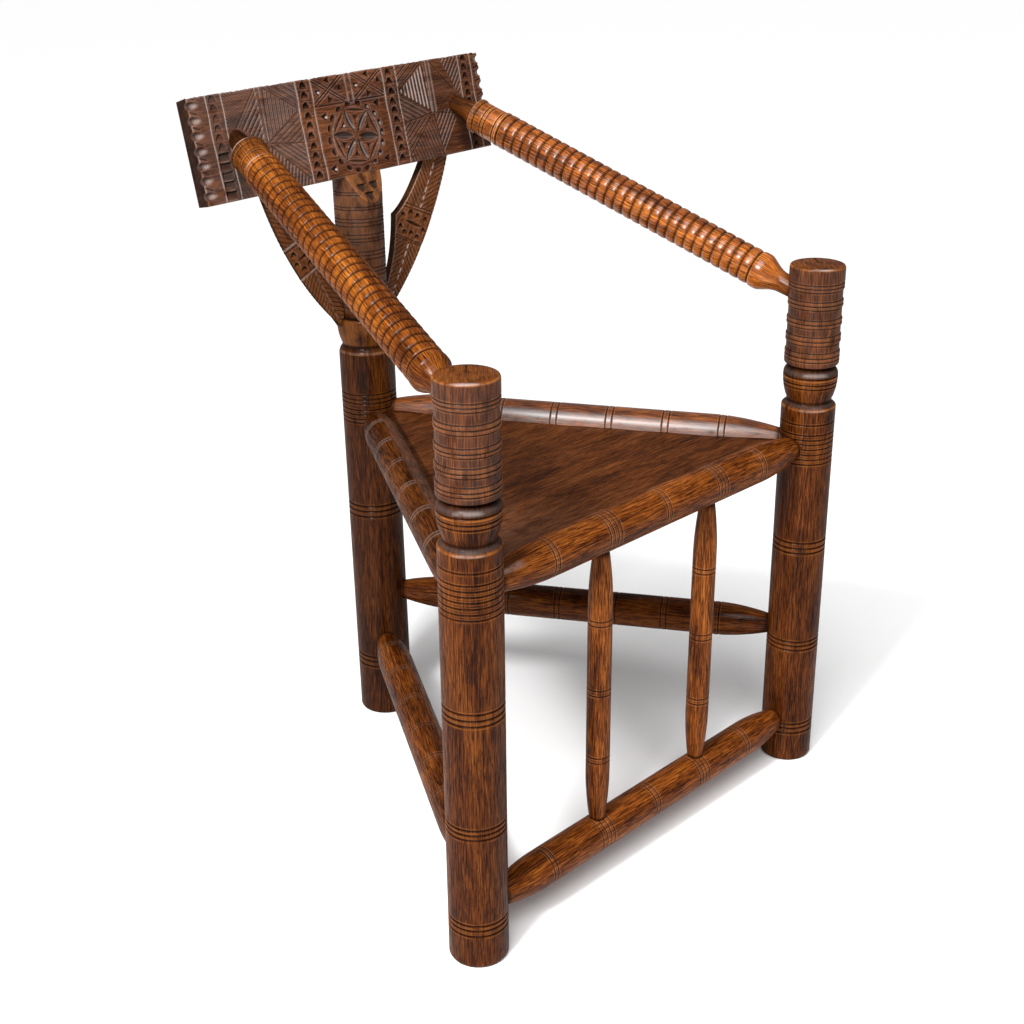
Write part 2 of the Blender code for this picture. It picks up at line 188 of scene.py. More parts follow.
def oakMaterial(name, look):
    material = bpy.data.materials.new(name)
    material.use_nodes = True
    tree = material.node_tree
    make, calc, times, plus = nodeTools(tree)

    def noiseAlong(scale, detail, roughness, distortion):
        # noise drawn out along the grain, which runs along the third direction
        place = make("ShaderNodeMapping", {"Scale": scale, "Vector": grain})
        sizes = {"Scale": 1.0, "Detail": detail, "Roughness": roughness, "Distortion": distortion}
        return make("ShaderNodeTexNoise", {"Vector": place, **sizes})

    def spread(value, low, high):
        inputs = {"Value": value, "From Min": low, "From Max": high}
        return make("ShaderNodeMapRange", inputs, interpolation_type="SMOOTHSTEP")

    def overlay(amount, under, over):
        return make("ShaderNodeMix", {0: amount, 6: under, 7: over}, 2, data_type="RGBA")

    grain = make("ShaderNodeAttribute", {}, "Vector", attribute_name="grain")
    cavity, ridge, pale = (
        make("ShaderNodeAttribute", {}, "Fac", attribute_name=label) for label in toneLabels
    )
    noise = {label: noiseAlong(*sizes) for label, sizes in figure.items()}
    pores, specks, fleck = (spread(noise[label], *edges) for label, edges in oakMix["edges"].items())
    grime, streak = noise["grime"], noise["streak"]
    dark, body, light, worn, wax = ((*look[key], 1) for key in ("dark", "body", "light", "worn", "wax"))

    mixed = plus(times(streak, oakMix["streak"]), times(noise["broad"], oakMix["broad"]))
    tone = tree.nodes.new("ShaderNodeValToRGB")
    tree.links.new(mixed, tone.inputs[0])
    steps = tone.color_ramp.elements
    steps[0].position, middle, steps[1].position = oakMix["ramp"]
    steps[0].color = dark
    steps[1].color = light
    steps.new(middle).color = body

    poreDepth = times(pores, look["pores"])
    ridgeWear = times(ridge, spread(grime, *oakMix["ridgeGrime"]))
    cutWax = times(cavity, plus(times(grime, oakMix["waxGrime"]), oakMix["waxLeast"]), True)
    layers = (
        (times(fleck, oakMix["fleck"]), light),
        (times(poreDepth, oakMix["pores"]), dark),
        (times(specks, oakMix["specks"] * look["pores"]), wax),
        (times(ridgeWear, oakMix["ridge"], True), worn),
        (times(cutWax, oakMix["wax"]), wax),
        (times(pale, spread(grime, *oakMix["paleSheenGrime"]), True), oakMix["paleSheen"]),
    )
    colour = tone.outputs[0]
    for amount, over in layers:
        colour = overlay(amount, colour, over)

    rough = plus(times(grime, oakMix["roughGrime"]), look["rough"] - oakMix["roughDrop"])
    rough = plus(rough, times(poreDepth, oakMix["roughPores"]))
    height = plus(times(poreDepth, oakMix["bumpPores"]), times(specks, oakMix["bumpSpecks"]))
    height = plus(height, times(streak, oakMix["bumpStreak"]))
    bumpSizes = {"Strength": oakMix["bumpStrength"], "Distance": oakMix["bumpDepth"]}
    surface = {
        "Base Color": colour,
        "Roughness": plus(rough, times(cutWax, oakMix["roughWax"]), True),
        "Normal": make("ShaderNodeBump", {"Height": height, **bumpSizes}),
        "Coat Weight": times(calc("SUBTRACT", 1.0, times(cutWax, oakMix["coatLoss"])), look["coat"]),
    }
    shader = tree.nodes["Principled BSDF"]
    for label, value in surface.items():
        tree.links.new(value, shader.inputs[label])
    shader.inputs["Specular IOR Level"].default_value = oakMix["specular"]
    shader.inputs["Coat Roughness"].default_value = look.get("coatRough", oakMix["coatRough"])
    return material


oaks = {name: oakMaterial(name, look) for name, look in oakLooks.items()}
print("oak finishes:", ", ".join(oaks))

# what the turning adds by itself: wax between rings, grain shifted by a seed, a hand's waver
turningRule = {
    "waxFrom": 0.58, "waxSteepness": 2.5, "seedShift": (1.7, 0.9), "grainShare": 0.12,
    "waverScale": 26.0, "waverDetail": 2.0, "weld": 0.00001,
}


def buildTurningTree():
    # turns an outline of (radius, 0, along) points about the line from Start to End, with a run of rings
    tree = bpy.data.node_groups.new("turning", "GeometryNodeTree")
    sockets = {
        "Geometry": ("Outline",), "Int": ("Sides", "Ring Count"), "Vector": ("Start", "End"),
        "Float": (
            "Ring From", "Ring To", "Ring Rise", "Ring Squareness", "Wobble", "Seed", "Grain Radius",
        ),
        "Material": ("Oak",),
    }
    for kind, labels in sockets.items():
        for label in labels:
            tree.interface.new_socket(label, in_out="INPUT", socket_type="NodeSocket" + kind)
    tree.interface.new_socket("Turned", in_out="OUTPUT", socket_type="NodeSocketGeometry")
    make, calc, times, plus = nodeTools(tree)
    given = tree.nodes.new("NodeGroupInput").outputs
    made = tree.nodes.new("NodeGroupOutput").inputs

    def vectorSum(first, second, operation="ADD"):
        return make("ShaderNodeVectorMath", {0: first, 1: second}, operation=operation)

    def vectorOf(*parts):
        return make("ShaderNodeCombineXYZ", dict(enumerate(parts)))

    def fromOutline(kind, value):
        inputs = {"Geometry": given["Outline"], "Value": value, "Index": row}
        return make("GeometryNodeSampleIndex", inputs, data_type=kind, domain="POINT")

    def toneOf(label):
        tone = make("GeometryNodeInputNamedAttribute", {"Name": label}, data_type="FLOAT")
        return fromOutline("FLOAT", tone)

    def around(radius):
        return vectorOf(times(radius, calc("COSINE", angle)), times(radius, calc("SINE", angle)), along)

    columns = plus(given["Sides"], 1)
    rows = make("GeometryNodeAttributeDomainSize", {0: given["Outline"]}, "Point Count")
    grid = make("GeometryNodeMeshGrid", {"Vertices X": rows, "Vertices Y": columns})
    index = make("GeometryNodeInputIndex", {})
    row = calc("FLOOR", calc("DIVIDE", plus(index, 0.5), columns))
    column = calc("SUBTRACT", index, times(row, columns))
    angle = times(calc("DIVIDE", column, given["Sides"]), 2 * math.pi)
    outlinePlace = fromOutline("FLOAT_VECTOR", make("GeometryNodeInputPosition", {}))
    plainRadius = make("ShaderNodeSeparateXYZ", {0: outlinePlace}, "X")
    along = make("ShaderNodeSeparateXYZ", {0: outlinePlace}, "Z")

    # rings: each swells from one groove to the next
    span = calc("SUBTRACT", given["Ring To"], given["Ring From"])
    share = calc("DIVIDE", calc("SUBTRACT", along, given["Ring From"]), span)
    turn = times(share, given["Ring Count"])
    inside = times(calc("GREATER_THAN", turn, 0.0), calc("LESS_THAN", turn, given["Ring Count"]))
    across = calc("ABSOLUTE", calc("SUBTRACT", times(calc("FRACT", turn), 2.0), 1.0))
    swellShape = calc("SUBTRACT", 1.0, calc("POWER", across, given["Ring Squareness"]))
    rise = times(times(swellShape, given["Ring Rise"]), inside)
    ringWax = times(calc("SUBTRACT", across, turningRule["waxFrom"]), turningRule["waxSteepness"], True)

    fullRadius = plus(plainRadius, rise)
    grainShare = turningRule["grainShare"]
    grainRadius = plus(times(fullRadius, grainShare), times(given["Grain Radius"], 1 - grainShare))
    shifts = [times(given["Seed"], shift) for shift in turningRule["seedShift"]]
    grainPlace = vectorSum(around(grainRadius), vectorOf(*shifts, given["Seed"]))
    waverSizes = {"Scale": turningRule["waverScale"], "Detail": turningRule["waverDetail"]}
    waver = make("ShaderNodeTexNoise", {"Vector": grainPlace, **waverSizes})
    handRadius = times(fullRadius, calc("SUBTRACT", 1.0, times(waver, given["Wobble"])))

    line = vectorSum(given["End"], given["Start"], "SUBTRACT")
    aim = make("FunctionNodeAlignRotationToVector", {"Vector": line}, axis="Z")
    swung = make("FunctionNodeRotateVector", {"Vector": around(handRadius), "Rotation": aim})
    place = vectorSum(swung, given["Start"])
    shape = make("GeometryNodeSetPosition", {"Geometry": grid, "Position": place})
    stored = (
        ("grain", "FLOAT_VECTOR", grainPlace),
        ("cavity", "FLOAT", calc("MAXIMUM", toneOf("cavity"), times(ringWax, inside))),
        ("ridge", "FLOAT", toneOf("ridge")),
        ("pale", "FLOAT", toneOf("pale")),
    )
    for label, kind, value in stored:
        inputs = {"Geometry": shape, "Name": label, "Value": value}
        shape = make("GeometryNodeStoreNamedAttribute", inputs, data_type=kind, domain="POINT")
    shape = make("GeometryNodeMergeByDistance", {"Geometry": shape, "Distance": turningRule["weld"]})
    shape = make("GeometryNodeSetShadeSmooth", {"Geometry": shape})
    shape = make("GeometryNodeRealizeInstances", {0: shape})
    shape = make("GeometryNodeSetMaterial", {"Geometry": shape, "Material": given["Oak"]})
    tree.links.new(shape, made[0])
    return tree


turningTree = buildTurningTree()


def smoothThrough(points, at):
    # curve through (along, radius) points that keeps between neighbouring points
    xs, ys = np.array(points, float).T
    step = np.diff(xs)
    slope = np.diff(ys) / step
    lean = np.concatenate(([slope[0]], np.zeros(len(slope) - 1), [slope[-1]]))
    both = slope[:-1] * slope[1:]
    total = np.where(both > 0, slope[:-1] + slope[1:], 1.0)
    lean[1:-1] = np.where(both > 0, 2 * both / total, 0.0)
    place = np.clip(np.searchsorted(xs, at) - 1, 0, len(step) - 1)
    h = step[place]
    t = (at - xs[place]) / h
    return (
        (1 + 2 * t) * (1 - t) ** 2 * ys[place] + t * (1 - t) ** 2 * h * lean[place]
        + t * t * (3 - 2 * t) * ys[place + 1] + t * t * (t - 1) * h * lean[place + 1]
    )


# points laid across each cut and bead, in half widths, the least step, and the tones they leave
edgeRule = {
    "cutPoints": np.linspace(-2.4, 2.4, 13), "beadPoints": np.linspace(-1.15, 1.15, 11), "closest": 0.12,
    "beadRidge": 0.45, "lipRidge": 0.55, "lipPlace": (1.5, 0.45), "palePlace": (1.0, 0.4),
}


def tint(outline, label, share):
    outline[label] = most(outline[label], share)


def turnedOutline(form, cuts=(), beads=(), spacing=6.0, dense=()):
    # millimetres: form is (along, radius) and a bead (along, rise, half width);
    # a cut is (along, depth, half width, pale share) and dense (from, to, step)
    first, last = form[0][0], form[-1][0]
    places = [np.arange(first, last, spacing), np.array([along for along, radius in form])]
    places += [along + half * edgeRule["cutPoints"] for along, depth, half, pale in cuts]
    places += [along + half * edgeRule["beadPoints"] for along, rise, half in beads]
    places += [np.arange(*run) for run in dense]
    along = np.unique(np.round(np.concatenate(places), 2))
    along = along[(along >= first) & (along <= last)]
    along = along[np.concatenate(([True], np.diff(along) > edgeRule["closest"]))]
    outline = {"along": along, "radius": smoothThrough(form, along)}
    for label in toneLabels:
        outline[label] = np.zeros_like(along)
    for middle, rise, half in beads:
        away = np.abs(along - middle) / half
        outline["radius"] += rise * np.sqrt(unit(1 - away ** 2))
        tint(outline, "ridge", edgeRule["beadRidge"] * unit(1.2 - 1.6 * away))
    for middle, depth, half, share in cuts:
        away = np.abs(along - middle) / half
        lip, pale = (
            np.exp(-((away - edgeRule[key][0]) / edgeRule[key][1]) ** 2) for key in ("lipPlace", "palePlace")
        )
        outline["radius"] -= depth * unit(1 - away)
        tint(outline, "cavity", unit(1.25 - 1.25 * away))
        tint(outline, "ridge", edgeRule["lipRidge"] * lip)
        tint(outline, "pale", share * pale)
    return outline


def darken(outline, middle, half, amount=1.0):
    # wax gathered in a corner, and painted shade where pieces meet
    tint(outline, "cavity", amount * unit(1.3 - 1.3 * np.abs(outline["along"] - middle) / half))


def grooveCuts(groups, pale=0.0):
    # each group is (places, depth, half width)
    return [(place, depth, half, pale) for places, depth, half in groups for place in places]


def settle(name, mesh, node):
    shape = bmesh.new()
    shape.from_mesh(mesh)
    bmesh.ops.recalc_face_normals(shape, faces=shape.faces)
    shape.to_mesh(mesh)
    shape.free()
    mesh.update()
    piece = bpy.data.objects.new(name, mesh)
    scene.collection.objects.link(piece)
    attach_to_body(piece, "root")
    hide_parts(node)


noRings = {"Ring Count": 0, "Ring From": 0.0, "Ring To": mm, "Ring Rise": 0.0, "Ring Squareness": 2.0}


def turnPiece(name, node, oak, line, outline, size, number=0, rings=noRings, reshape=None):
    # line is where the outline starts and where it aims; size has the sides, waver and seeds
    along = outline["along"]
    along = np.concatenate((along[:1], along, along[-1:])) * mm
    radius = np.concatenate(([0.0], outline["radius"], [0.0])) * mm
    source = bpy.data.meshes.new(name + "Outline")
    corners = [(r, 0.0, s) for r, s in zip(radius, along)]
    source.from_pydata(corners, [(i, i + 1) for i in range(len(corners) - 1)], [])
    for label in toneLabels:
        values = np.concatenate((outline[label][:1], outline[label], outline[label][-1:]))
        source.attributes.new(label, "FLOAT", "POINT").data.foreach_set("value", values.astype(np.float32))
    blank = bpy.data.objects.new(name + "Blank", source)
    scene.collection.objects.link(blank)
    lathe = blank.modifiers.new("turning", "NODES")
    lathe.node_group = turningTree
    keys = {item.name: item.identifier for item in turningTree.interface.items_tree if item.in_out == "INPUT"}
    firstSeed, seedStep = size["seeds"]
    settings = {
        **rings, "Start": tuple(line[0]), "End": tuple(line[1]), "Sides": size["sides"],
        "Wobble": size["wobble"], "Seed": firstSeed + seedStep * number,
        "Grain Radius": float(radius.max()), "Oak": oaks[oak],
    }
    for label, value in settings.items():
        lathe[keys[label]] = value
    bpy.context.view_layer.update()
    graph = bpy.context.evaluated_depsgraph_get()
    mesh = bpy.data.meshes.new_from_object(blank.evaluated_get(graph))
    bpy.data.objects.remove(blank, do_unlink=True)
    mesh.name = name
    if reshape:
        reshape(mesh)
    settle(name, mesh, node)


def readPlaces(mesh):
    places = np.empty(len(mesh.vertices) * 3, np.float32)
    mesh.vertices.foreach_get("co", places)
    return places.reshape(-1, 3).astype(float)


def writePlaces(mesh, places):
    mesh.vertices.foreach_set("co", places.astype(np.float32).ravel())
    mesh.update()


def readTone(mesh, label):
    values = np.empty(len(mesh.vertices), np.float32)
    mesh.attributes[label].data.foreach_get("value", values)
    return values


def writeTone(mesh, label, values):
    mesh.attributes[label].data.foreach_set("value", values.astype(np.float32))


def retone(mesh, label, share, least):
    # brings an attribute towards one value where share is high
    writeTone(mesh, label, readTone(mesh, label) * (1 - share) + least * share)


# front posts, millimetres up from the floor; grooves are places, depth and half width
frontPost = {
    "form": [
        (0, 30.8), (1.2, 33.0), (4, 34.5), (510.2, 34.5), (511.8, 34.1), (513.0, 33.0), (514.6, 31.0),
        (516.4, 29.4), (519.2, 28.4), (526.5, 30.7), (534.5, 32.8), (543, 34.1), (551, 34.5), (555.5, 34.0),
        (559, 32.4), (562, 29.6), (564.0, 27.4), (565.4, 28.2), (566.5, 33.0), (568, 34.3), (573, 34.5),
        (574.4, 33.3), (661.5, 33.1), (662.6, 34.2), (664, 34.5), (687.8, 34.5), (689.6, 34.2), (691.0, 33.3),
        (691.8, 31.8), (692.4, 28.5), (693.0, 22.0), (693.5, 14.0), (693.8, 4.0),
    ],
    "grooves": (
        ((58, 51.5, 44, 184.6, 178.5, 172.2, 329, 321.5, 314.6), 1.4, 1.7),
        ((439.2, 445.7, 452.4, 459.4, 466, 472, 478.5, 492, 539, 544.4, 551.8), 0.9, 1.3),
        ((662.8, 667.1, 671.5), 0.8, 1.1),
    ),
    "beadLines": {
        "right_front_post": (
            (574.2, 578.8, 584.6), (594.2, 598.8, 604.6), (615.6, 619.8, 625.4), (639, 644, 649.3),
        ),
        "left_front_post": (
            (574.2, 579.2, 585.6), (595.2, 600.5, 606.5), (617.2, 622, 627.6), (640.6, 645.6, 650.8),
        ),
    },
    "beadRise": 1.3, "beadCut": (0.45, 0.9, 0.0),
    "dense": ((500, 575, 1.0), (686, 693.8, 0.25)),
    "waxed": ((564.2, 3.0, 1.0), (518.5, 3.5, 0.9)),
    "darkLedges": ((552.6, 565.0, 0.70), (513.2, 520.5, 0.78)),
    "rubbedEdges": (511.2, 549.6, 690.6), "rubbedHalf": 1.3,
    "sheen": ((557.5, 3.4, 0.06), (515.0, 2.2, 0.05)),
    "drumSheen": (566.0, 690.6, 0.031),
    "glints": ((557.2, 2.4, 0.30), (514.2, 1.4, 0.12), (510.8, 1.2, 0.22)), "glintFront": (0.83, 1 / 11),
    "capFoot": 691.6, "capRidge": 0.32, "capGrain": math.radians(45),
    "check": (-4.0, 27.0), "checkHalf": 1.0, "checkWax": 0.85,
    "rimHalf": 1.2, "rimPale": 0.6, "rimFront": (0.825, 0.125),
    "sides": 144, "wobble": 0.008, "seeds": (1.3, 4.1),
}


def beadGroups(groups):
    beads, cuts = [], []
    rise = frontPost["beadRise"]
    for lines in groups:
        beads += [((low + high) / 2, rise, (high - low) / 2) for low, high in zip(lines, lines[1:])]
        cuts += [(place, *frontPost["beadCut"]) for place in lines]
    return beads, cuts


def frontPostOutline(post):
    beads, cuts = beadGroups(frontPost["beadLines"][post])
    cuts += grooveCuts(frontPost["grooves"])
    outline = turnedOutline(frontPost["form"], cuts, beads, dense=frontPost["dense"])
    along = outline["along"]
    for corner in frontPost["waxed"]:
        darken(outline, *corner)
    for low, high, wax in frontPost["darkLedges"]:
        tint(outline, "cavity", wax * within(along, low, high))
    for edge in frontPost["rubbedEdges"]:
        tint(outline, "ridge", near(along, edge, frontPost["rubbedHalf"], 1.4))
    for place, half, share in frontPost["sheen"]:
        tint(outline, "pale", share * near(along, place, half, 1.3))
    low, high, share = frontPost["drumSheen"]
    tint(outline, "pale", share * within(along, low, high))
    outline["ridge"][along > frontPost["capFoot"]] = frontPost["capRidge"]
    return outline


def grainCap(mesh):
    # on the cap the figure runs across the end grain in straight lines, with one check in it
    place = readPlaces(mesh)
    height = place[:, 2] / mm
    grain = np.empty(place.size, np.float32)
    mesh.attributes["grain"].data.foreach_get("vector", grain)
    grain = grain.reshape(-1, 3)
    onTop = height > frontPost["capFoot"]
    x, y = (place[:, :2] - place[onTop, :2].mean(0)).T
    turn = frontPost["capGrain"]
    across, along = x * math.cos(turn) - y * math.sin(turn), x * math.sin(turn) + y * math.cos(turn)
    lines = np.stack((across, place[:, 2], along), -1) + grain[onTop].mean(0)
    grain = np.where(onTop[:, None], lines, grain)
    mesh.attributes["grain"].data.foreach_set("vector", grain.astype(np.float32).ravel())
    onCheck = onTop & (np.abs(across) < frontPost["checkHalf"] * mm) & within(along / mm, *frontPost["check"])
    retone(mesh, "cavity", frontPost["checkWax"] * onCheck, 1.0)
    # painted highlights on the front of the rim, the bowl and the shoulder, on the side towards the camera
    front = -along / plan["frontRadius"]
    rim = near(height, frontPost["capFoot"], frontPost["rimHalf"], 1.3)
    retone(mesh, "pale", rim * rising(front, *frontPost["rimFront"]), frontPost["rimPale"])
    facing = rising(front, *frontPost["glintFront"])
    for spot, half, share in frontPost["glints"]:
        retone(mesh, "pale", near(height, spot, half, 1.3) * facing, share)


frontPosts = {"rightFrontPost": "right_front_post", "leftFrontPost": "left_front_post"}
for number, (name, post) in enumerate(frontPosts.items()):
    line = postPoint(post, 0), postPoint(post, 1)
    outline = frontPostOutline(post)
    turnPiece(name, post, "postOak", line, outline, frontPost, number, reshape=grainCap)
print("front posts turned")

# crest place: its face is raked back and a little out of level; u runs along it and v up its face
crest = {
    "rake": math.radians(11.0), "tilt": math.radians(1.49), "faceY": plan["backY"] - 0.0058, "foot": 0.7819,
    "left": -239.4, "right": 236.4, "height": 126.5, "thickness": 22.7, "grid": 0.86, "ease": 1.4,
    "topNick": 2.2, "topReach": 8, "backDrop": 2.4, "edgeRidge": 0.8, "endDark": 0.97,
    "grainFrom": (3.0, 1.0, 7.0),
}
crestPlace = (
    Matrix.Translation((0, crest["faceY"], crest["foot"]))
    @ Matrix.Rotation(-crest["rake"], 4, "X") @ Matrix.Rotation(-crest["tilt"], 4, "Y")
)

# back post: drum above a cup, with a carved facet pared on it below the crest;
# rubbed is where it is painted paler, lifting the post's painted shade, with a painted highlight on the
# shoulder: from, to, share of ridge and of pale
backPost = {
    "form": [
        (-1, 34.0), (1.2, 36.0), (4, 37.4), (541, 37.4), (546, 36.9), (549.5, 35.4), (552.5, 33.2),
        (555, 32.2), (563, 34.6), (571, 36.6), (579, 37.6), (587, 38.0), (590, 37.6), (592.5, 36.2),
        (593.8, 34.2), (594.6, 32.2), (848, 32.2), (850, 31.0),
    ],
    "grooves": (
        ((92, 85, 77, 328, 320.5, 312.5), 1.4, 1.8),
        ((450.6, 456, 462.5, 469, 477.8, 483.5, 490), 0.9, 1.3),
        ((608, 613, 618, 630, 635, 640, 652, 657, 662, 674, 679, 684), 0.9, 1.2),
        ((697, 701, 706, 717, 722, 726.5, 738.3, 742, 757.5, 761), 0.9, 1.2),
    ),
    "dense": ((540, 600, 1.2), (744, 786, 0.8)),
    "rubbed": (
        (600, 900, 0.50, 0.03), (732, 900, 0.75, 0.0), (557, 593, 0.80, 0.0), (545.9, 549.1, 0.90, 0.05),
    ),
    "waxed": ((594.3, 2.6, 1.0), (554.5, 3.5, 0.8)),
    "drumRadius": 0.0322, "facetFoot": 0.747, "facetOver": 0.002, "facetRidge": 1.7, "facetPale": 0.03,
    "chips": ((-9.2, 765.8), (11.5, 766.9), (-0.6, 755.4)),
    "chipSize": 11.5, "chipDepth": 3.0, "chipHalf": 0.56, "chipRunOut": 0.7, "chipWax": 0.95,
    "scratch": ((-27.9, 779.5), (-16.5, 755.5)), "scratchCut": (1.3, 0.7), "scratchPale": 0.14,
    "halvingOver": 0.0015, "halvingGap": 0.0004,
    "sides": 144, "wobble": 0.008, "seeds": (9.7, 0.0),
}


def triangleChip(u, v, middle, size, deep, turn=0.0):
    # pit with three sloping sides, deepest in the middle
    inside = np.full_like(u, np.inf)
    for corner in range(3):
        angle = turn + math.pi / 2 + corner * 2 * math.pi / 3
        away = (u - middle[0]) * math.cos(angle) + (v - middle[1]) * math.sin(angle)
        inside = np.minimum(inside, size * 0.5 - away)
    return deep * unit(inside / (size * 0.5)) ** 0.8


def lineCut(u, v, start, end, half, deep):
    run = np.array(end, float) - np.array(start, float)
    share = unit(((u - start[0]) * run[0] + (v - start[1]) * run[1]) / (run @ run))
    away = np.hypot(u - start[0] - share * run[0], v - start[1] - share * run[1])
    return deep * unit(1 - away / half)


def linesCut(u, v, lines, half, deep):
    return np.max([lineCut(u, v, start, end, half, deep) for start, end in lines], axis=0)


def pareBackPost(mesh):
    # flat facet below the crest, then the halving behind it
    place = readPlaces(mesh)
    x, y, z = place.T
    foot, size = backPost["facetFoot"], backPost["chipSize"]
    footY = plan["backY"] + plan["backLean"] * (foot - plan["plumbHeight"]) - backPost["drumRadius"]
    rise = np.clip((z - foot) / (crest["foot"] - foot), 0, None)
    facetY = footY + rise * (crest["faceY"] - footY)
    onFacet = within(z, foot, crest["foot"] + backPost["facetOver"]) & (y < facetY)
    carve = np.zeros(len(place))
    for across, up in backPost["chips"]:
        drop = (up + size * 0.4 - z / mm) / (size * 0.8)
        wide = backPost["chipHalf"] * size * np.sqrt(unit(1 - drop ** 2))
        inChip = within(drop, 0, 1) & (np.abs(x / mm - across) < wide)
        carve = np.where(inChip, backPost["chipDepth"] * (1 - backPost["chipRunOut"] * drop), carve)
    scratch = lineCut(x / mm, z / mm, *backPost["scratch"], *backPost["scratchCut"])
    # the facet is painted paler, as light falling on it against the post's painted shade
    tones = {
        "cavity": backPost["chipWax"] * (carve > 0),
        "ridge": backPost["facetRidge"] + scratch,
        "pale": backPost["facetPale"] + backPost["scratchPale"] * scratch * (carve == 0),
    }
    for label, values in tones.items():
        writeTone(mesh, label, np.where(onFacet, values, readTone(mesh, label)))
    y = np.where(onFacet, facetY + most(carve, scratch) * mm, y)
    behindY = crest["faceY"] + crest["thickness"] * mm / math.cos(crest["rake"]) + backPost["halvingGap"]
    behindY = behindY + (z - crest["foot"]) * math.tan(crest["rake"])
    y = np.where(z > crest["foot"] + backPost["halvingOver"], most(y, behindY), y)
    level = most(z, 0.0)  # the leaning post is sawn level at the floor
    writePlaces(mesh, np.stack((x, y, level), -1))


backOutline = turnedOutline(backPost["form"], grooveCuts(backPost["grooves"]), dense=backPost["dense"])
for low, high, ridge, pale in backPost["rubbed"]:
    tint(backOutline, "ridge", ridge * within(backOutline["along"], low, high))
    tint(backOutline, "pale", pale * within(backOutline["along"], low, high))
for corner in backPost["waxed"]:
    darken(backOutline, *corner)
backLine = postPoint("back_post", 0), postPoint("back_post", 1)
turnPiece(
    "backPost", "back_post", "shadedPostOak", backLine, backOutline, backPost, reshape=pareBackPost,
)
print("back post turned and pared")

# rails: posts, end heights, radii and taper in millimetres, and their fine grooves from the first post's axis
rails = {
    "frontSeatRail": {
        "node": "front_seat_rail", "oak": "railOak", "posts": ("right_front_post", "left_front_post"),
        "heights": (458.5, 458.5), "radius": 23.5, "endRadius": 14.3, "taper": 78, "pale": 0.06,
        "grooves": (104.8, 111.2, 193.6, 200, 206.8, 212.8, 293, 300, 388.8, 395, 401, 407, 474.4, 482.8),
    },
    "rightSeatRail": {
        "node": "right_seat_rail", "oak": "deeplyShadedRailOak", "posts": ("right_front_post", "back_post"),
        "heights": (444.5, 454.5), "radius": 23.3, "endRadius": 14.0, "taper": 70, "pale": 0.22,
        "grooves": (126.5, 133.5, 198.5, 205.5, 274.5, 281.5, 350.5, 357.5, 422.5, 429.5, 492.5, 499.5),
    },
    "leftSeatRail": {
        "node": "left_seat_rail", "oak": "glossRailOak", "posts": ("left_front_post", "back_post"),
        "heights": (462.5, 465), "radius": 23.5, "endRadius": 12.5, "taper": 88, "pale": 0.0,
        "grooves": (103.2, 111.2, 176.4, 184.8, 250.8, 259.2, 324.8, 333.2, 400, 407.6, 474, 482),
    },
    "frontStretcher": {
        "node": "front_stretcher", "oak": "railOak", "posts": ("right_front_post", "left_front_post"),
        "heights": (58.4, 61.8), "radius": 22.8, "endRadius": 14.3, "taper": 66, "pale": 0.04,
        "grooves": (104, 110.4, 190, 197.6, 204.4, 211.2, 290.4, 297.6, 378, 384, 390.4, 396.8, 476, 482.8),
    },
    "rightStretcher": {
        "node": "right_stretcher", "oak": "shadedRailOak", "posts": ("right_front_post", "back_post"),
        "heights": (107, 120), "radius": 23.6, "endRadius": 14.0, "taper": 70, "pale": 0.04,
        "grooves": (134.5, 141.5, 206.5, 213.5, 278.5, 285.5, 351.5, 358.5, 428.5, 435.5, 500.5, 507.5),
    },
    "leftStretcher": {
        "node": "left_stretcher", "oak": "shadedRailOak", "posts": ("left_front_post", "back_post"),
        "heights": (194, 189), "radius": 22.9, "endRadius": 13.5, "taper": 70, "pale": 0.0,
        "grooves": (99.2, 106.8, 170.8, 178.4, 241.5, 248.5, 320.4, 327.2, 393.5, 400.5, 466.5, 473.5),
    },
}
railSize = {"tip": 12.0, "sides": 56, "wobble": 0.008, "seeds": (14.9, 3.7)}
railRule = {"taperSteps": 9, "taperPower": 0.9, "tipDrop": 2.0, "cut": (0.8, 1.2), "jointShadeHalf": 5.0}

# wear and painted light on the seat rails, each a place and a run or half width: degrees round the rail,
# millimetres along it for the ends of the tip's painted shade and highlight, and a share of the depth for
# paleSheenBack
railWear = {
    "rubbedFrom": (4, 8), "rubbedTo": (-110, 20), "rubbedShare": 0.9,
    "rubbedTones": {"cavity": 0.0, "pale": 0.04, "ridge": 0.12}, "flat": (-12, 26), "flatDepth": 0.0009,
    "paleSheenFrom": (-38, 34), "paleSheenTo": (-100, 14), "paleSheenBack": (0.88, 0.3), "paleSheenLeast": 0.25,
    "paleSheenPale": 0.27,
    "tipShade": (14, 20), "tipShadeEnd": (88, 16), "tipShadeShare": 0.7, "tipShadeWax": 0.8,
    "tipHighlight": (44, 12), "tipHighlightEnd": (66, 12), "tipHighlightPale": 0.44,
}


def railOutline(length, faces, shape, size, grooves, pale=0.0):
    # tapers up from each face in a quarter wave, with a plain tip inside the socket
    start, stop = faces[0], length - faces[1]
    thin = shape["endRadius"]
    shares = np.linspace(0, 1, railRule["taperSteps"] + 1)
    rise = np.sin(shares * math.pi / 2) ** railRule["taperPower"]
    taper = list(zip(shares * shape["taper"], thin + (shape["radius"] - thin) * rise))
    form = [(start - size["tip"], thin - railRule["tipDrop"])]
    form += [(start + along, radius) for along, radius in taper]
    form += [(stop - along, radius) for along, radius in reversed(taper)]
    form.append((stop + size["tip"], thin - railRule["tipDrop"]))
    outline = turnedOutline(form, grooveCuts([(grooves, *railRule["cut"])], pale))
    # painted shade where the piece meets the one at each end
    darken(outline, start, railRule["jointShadeHalf"])
    darken(outline, stop, railRule["jointShadeHalf"])
    return outline


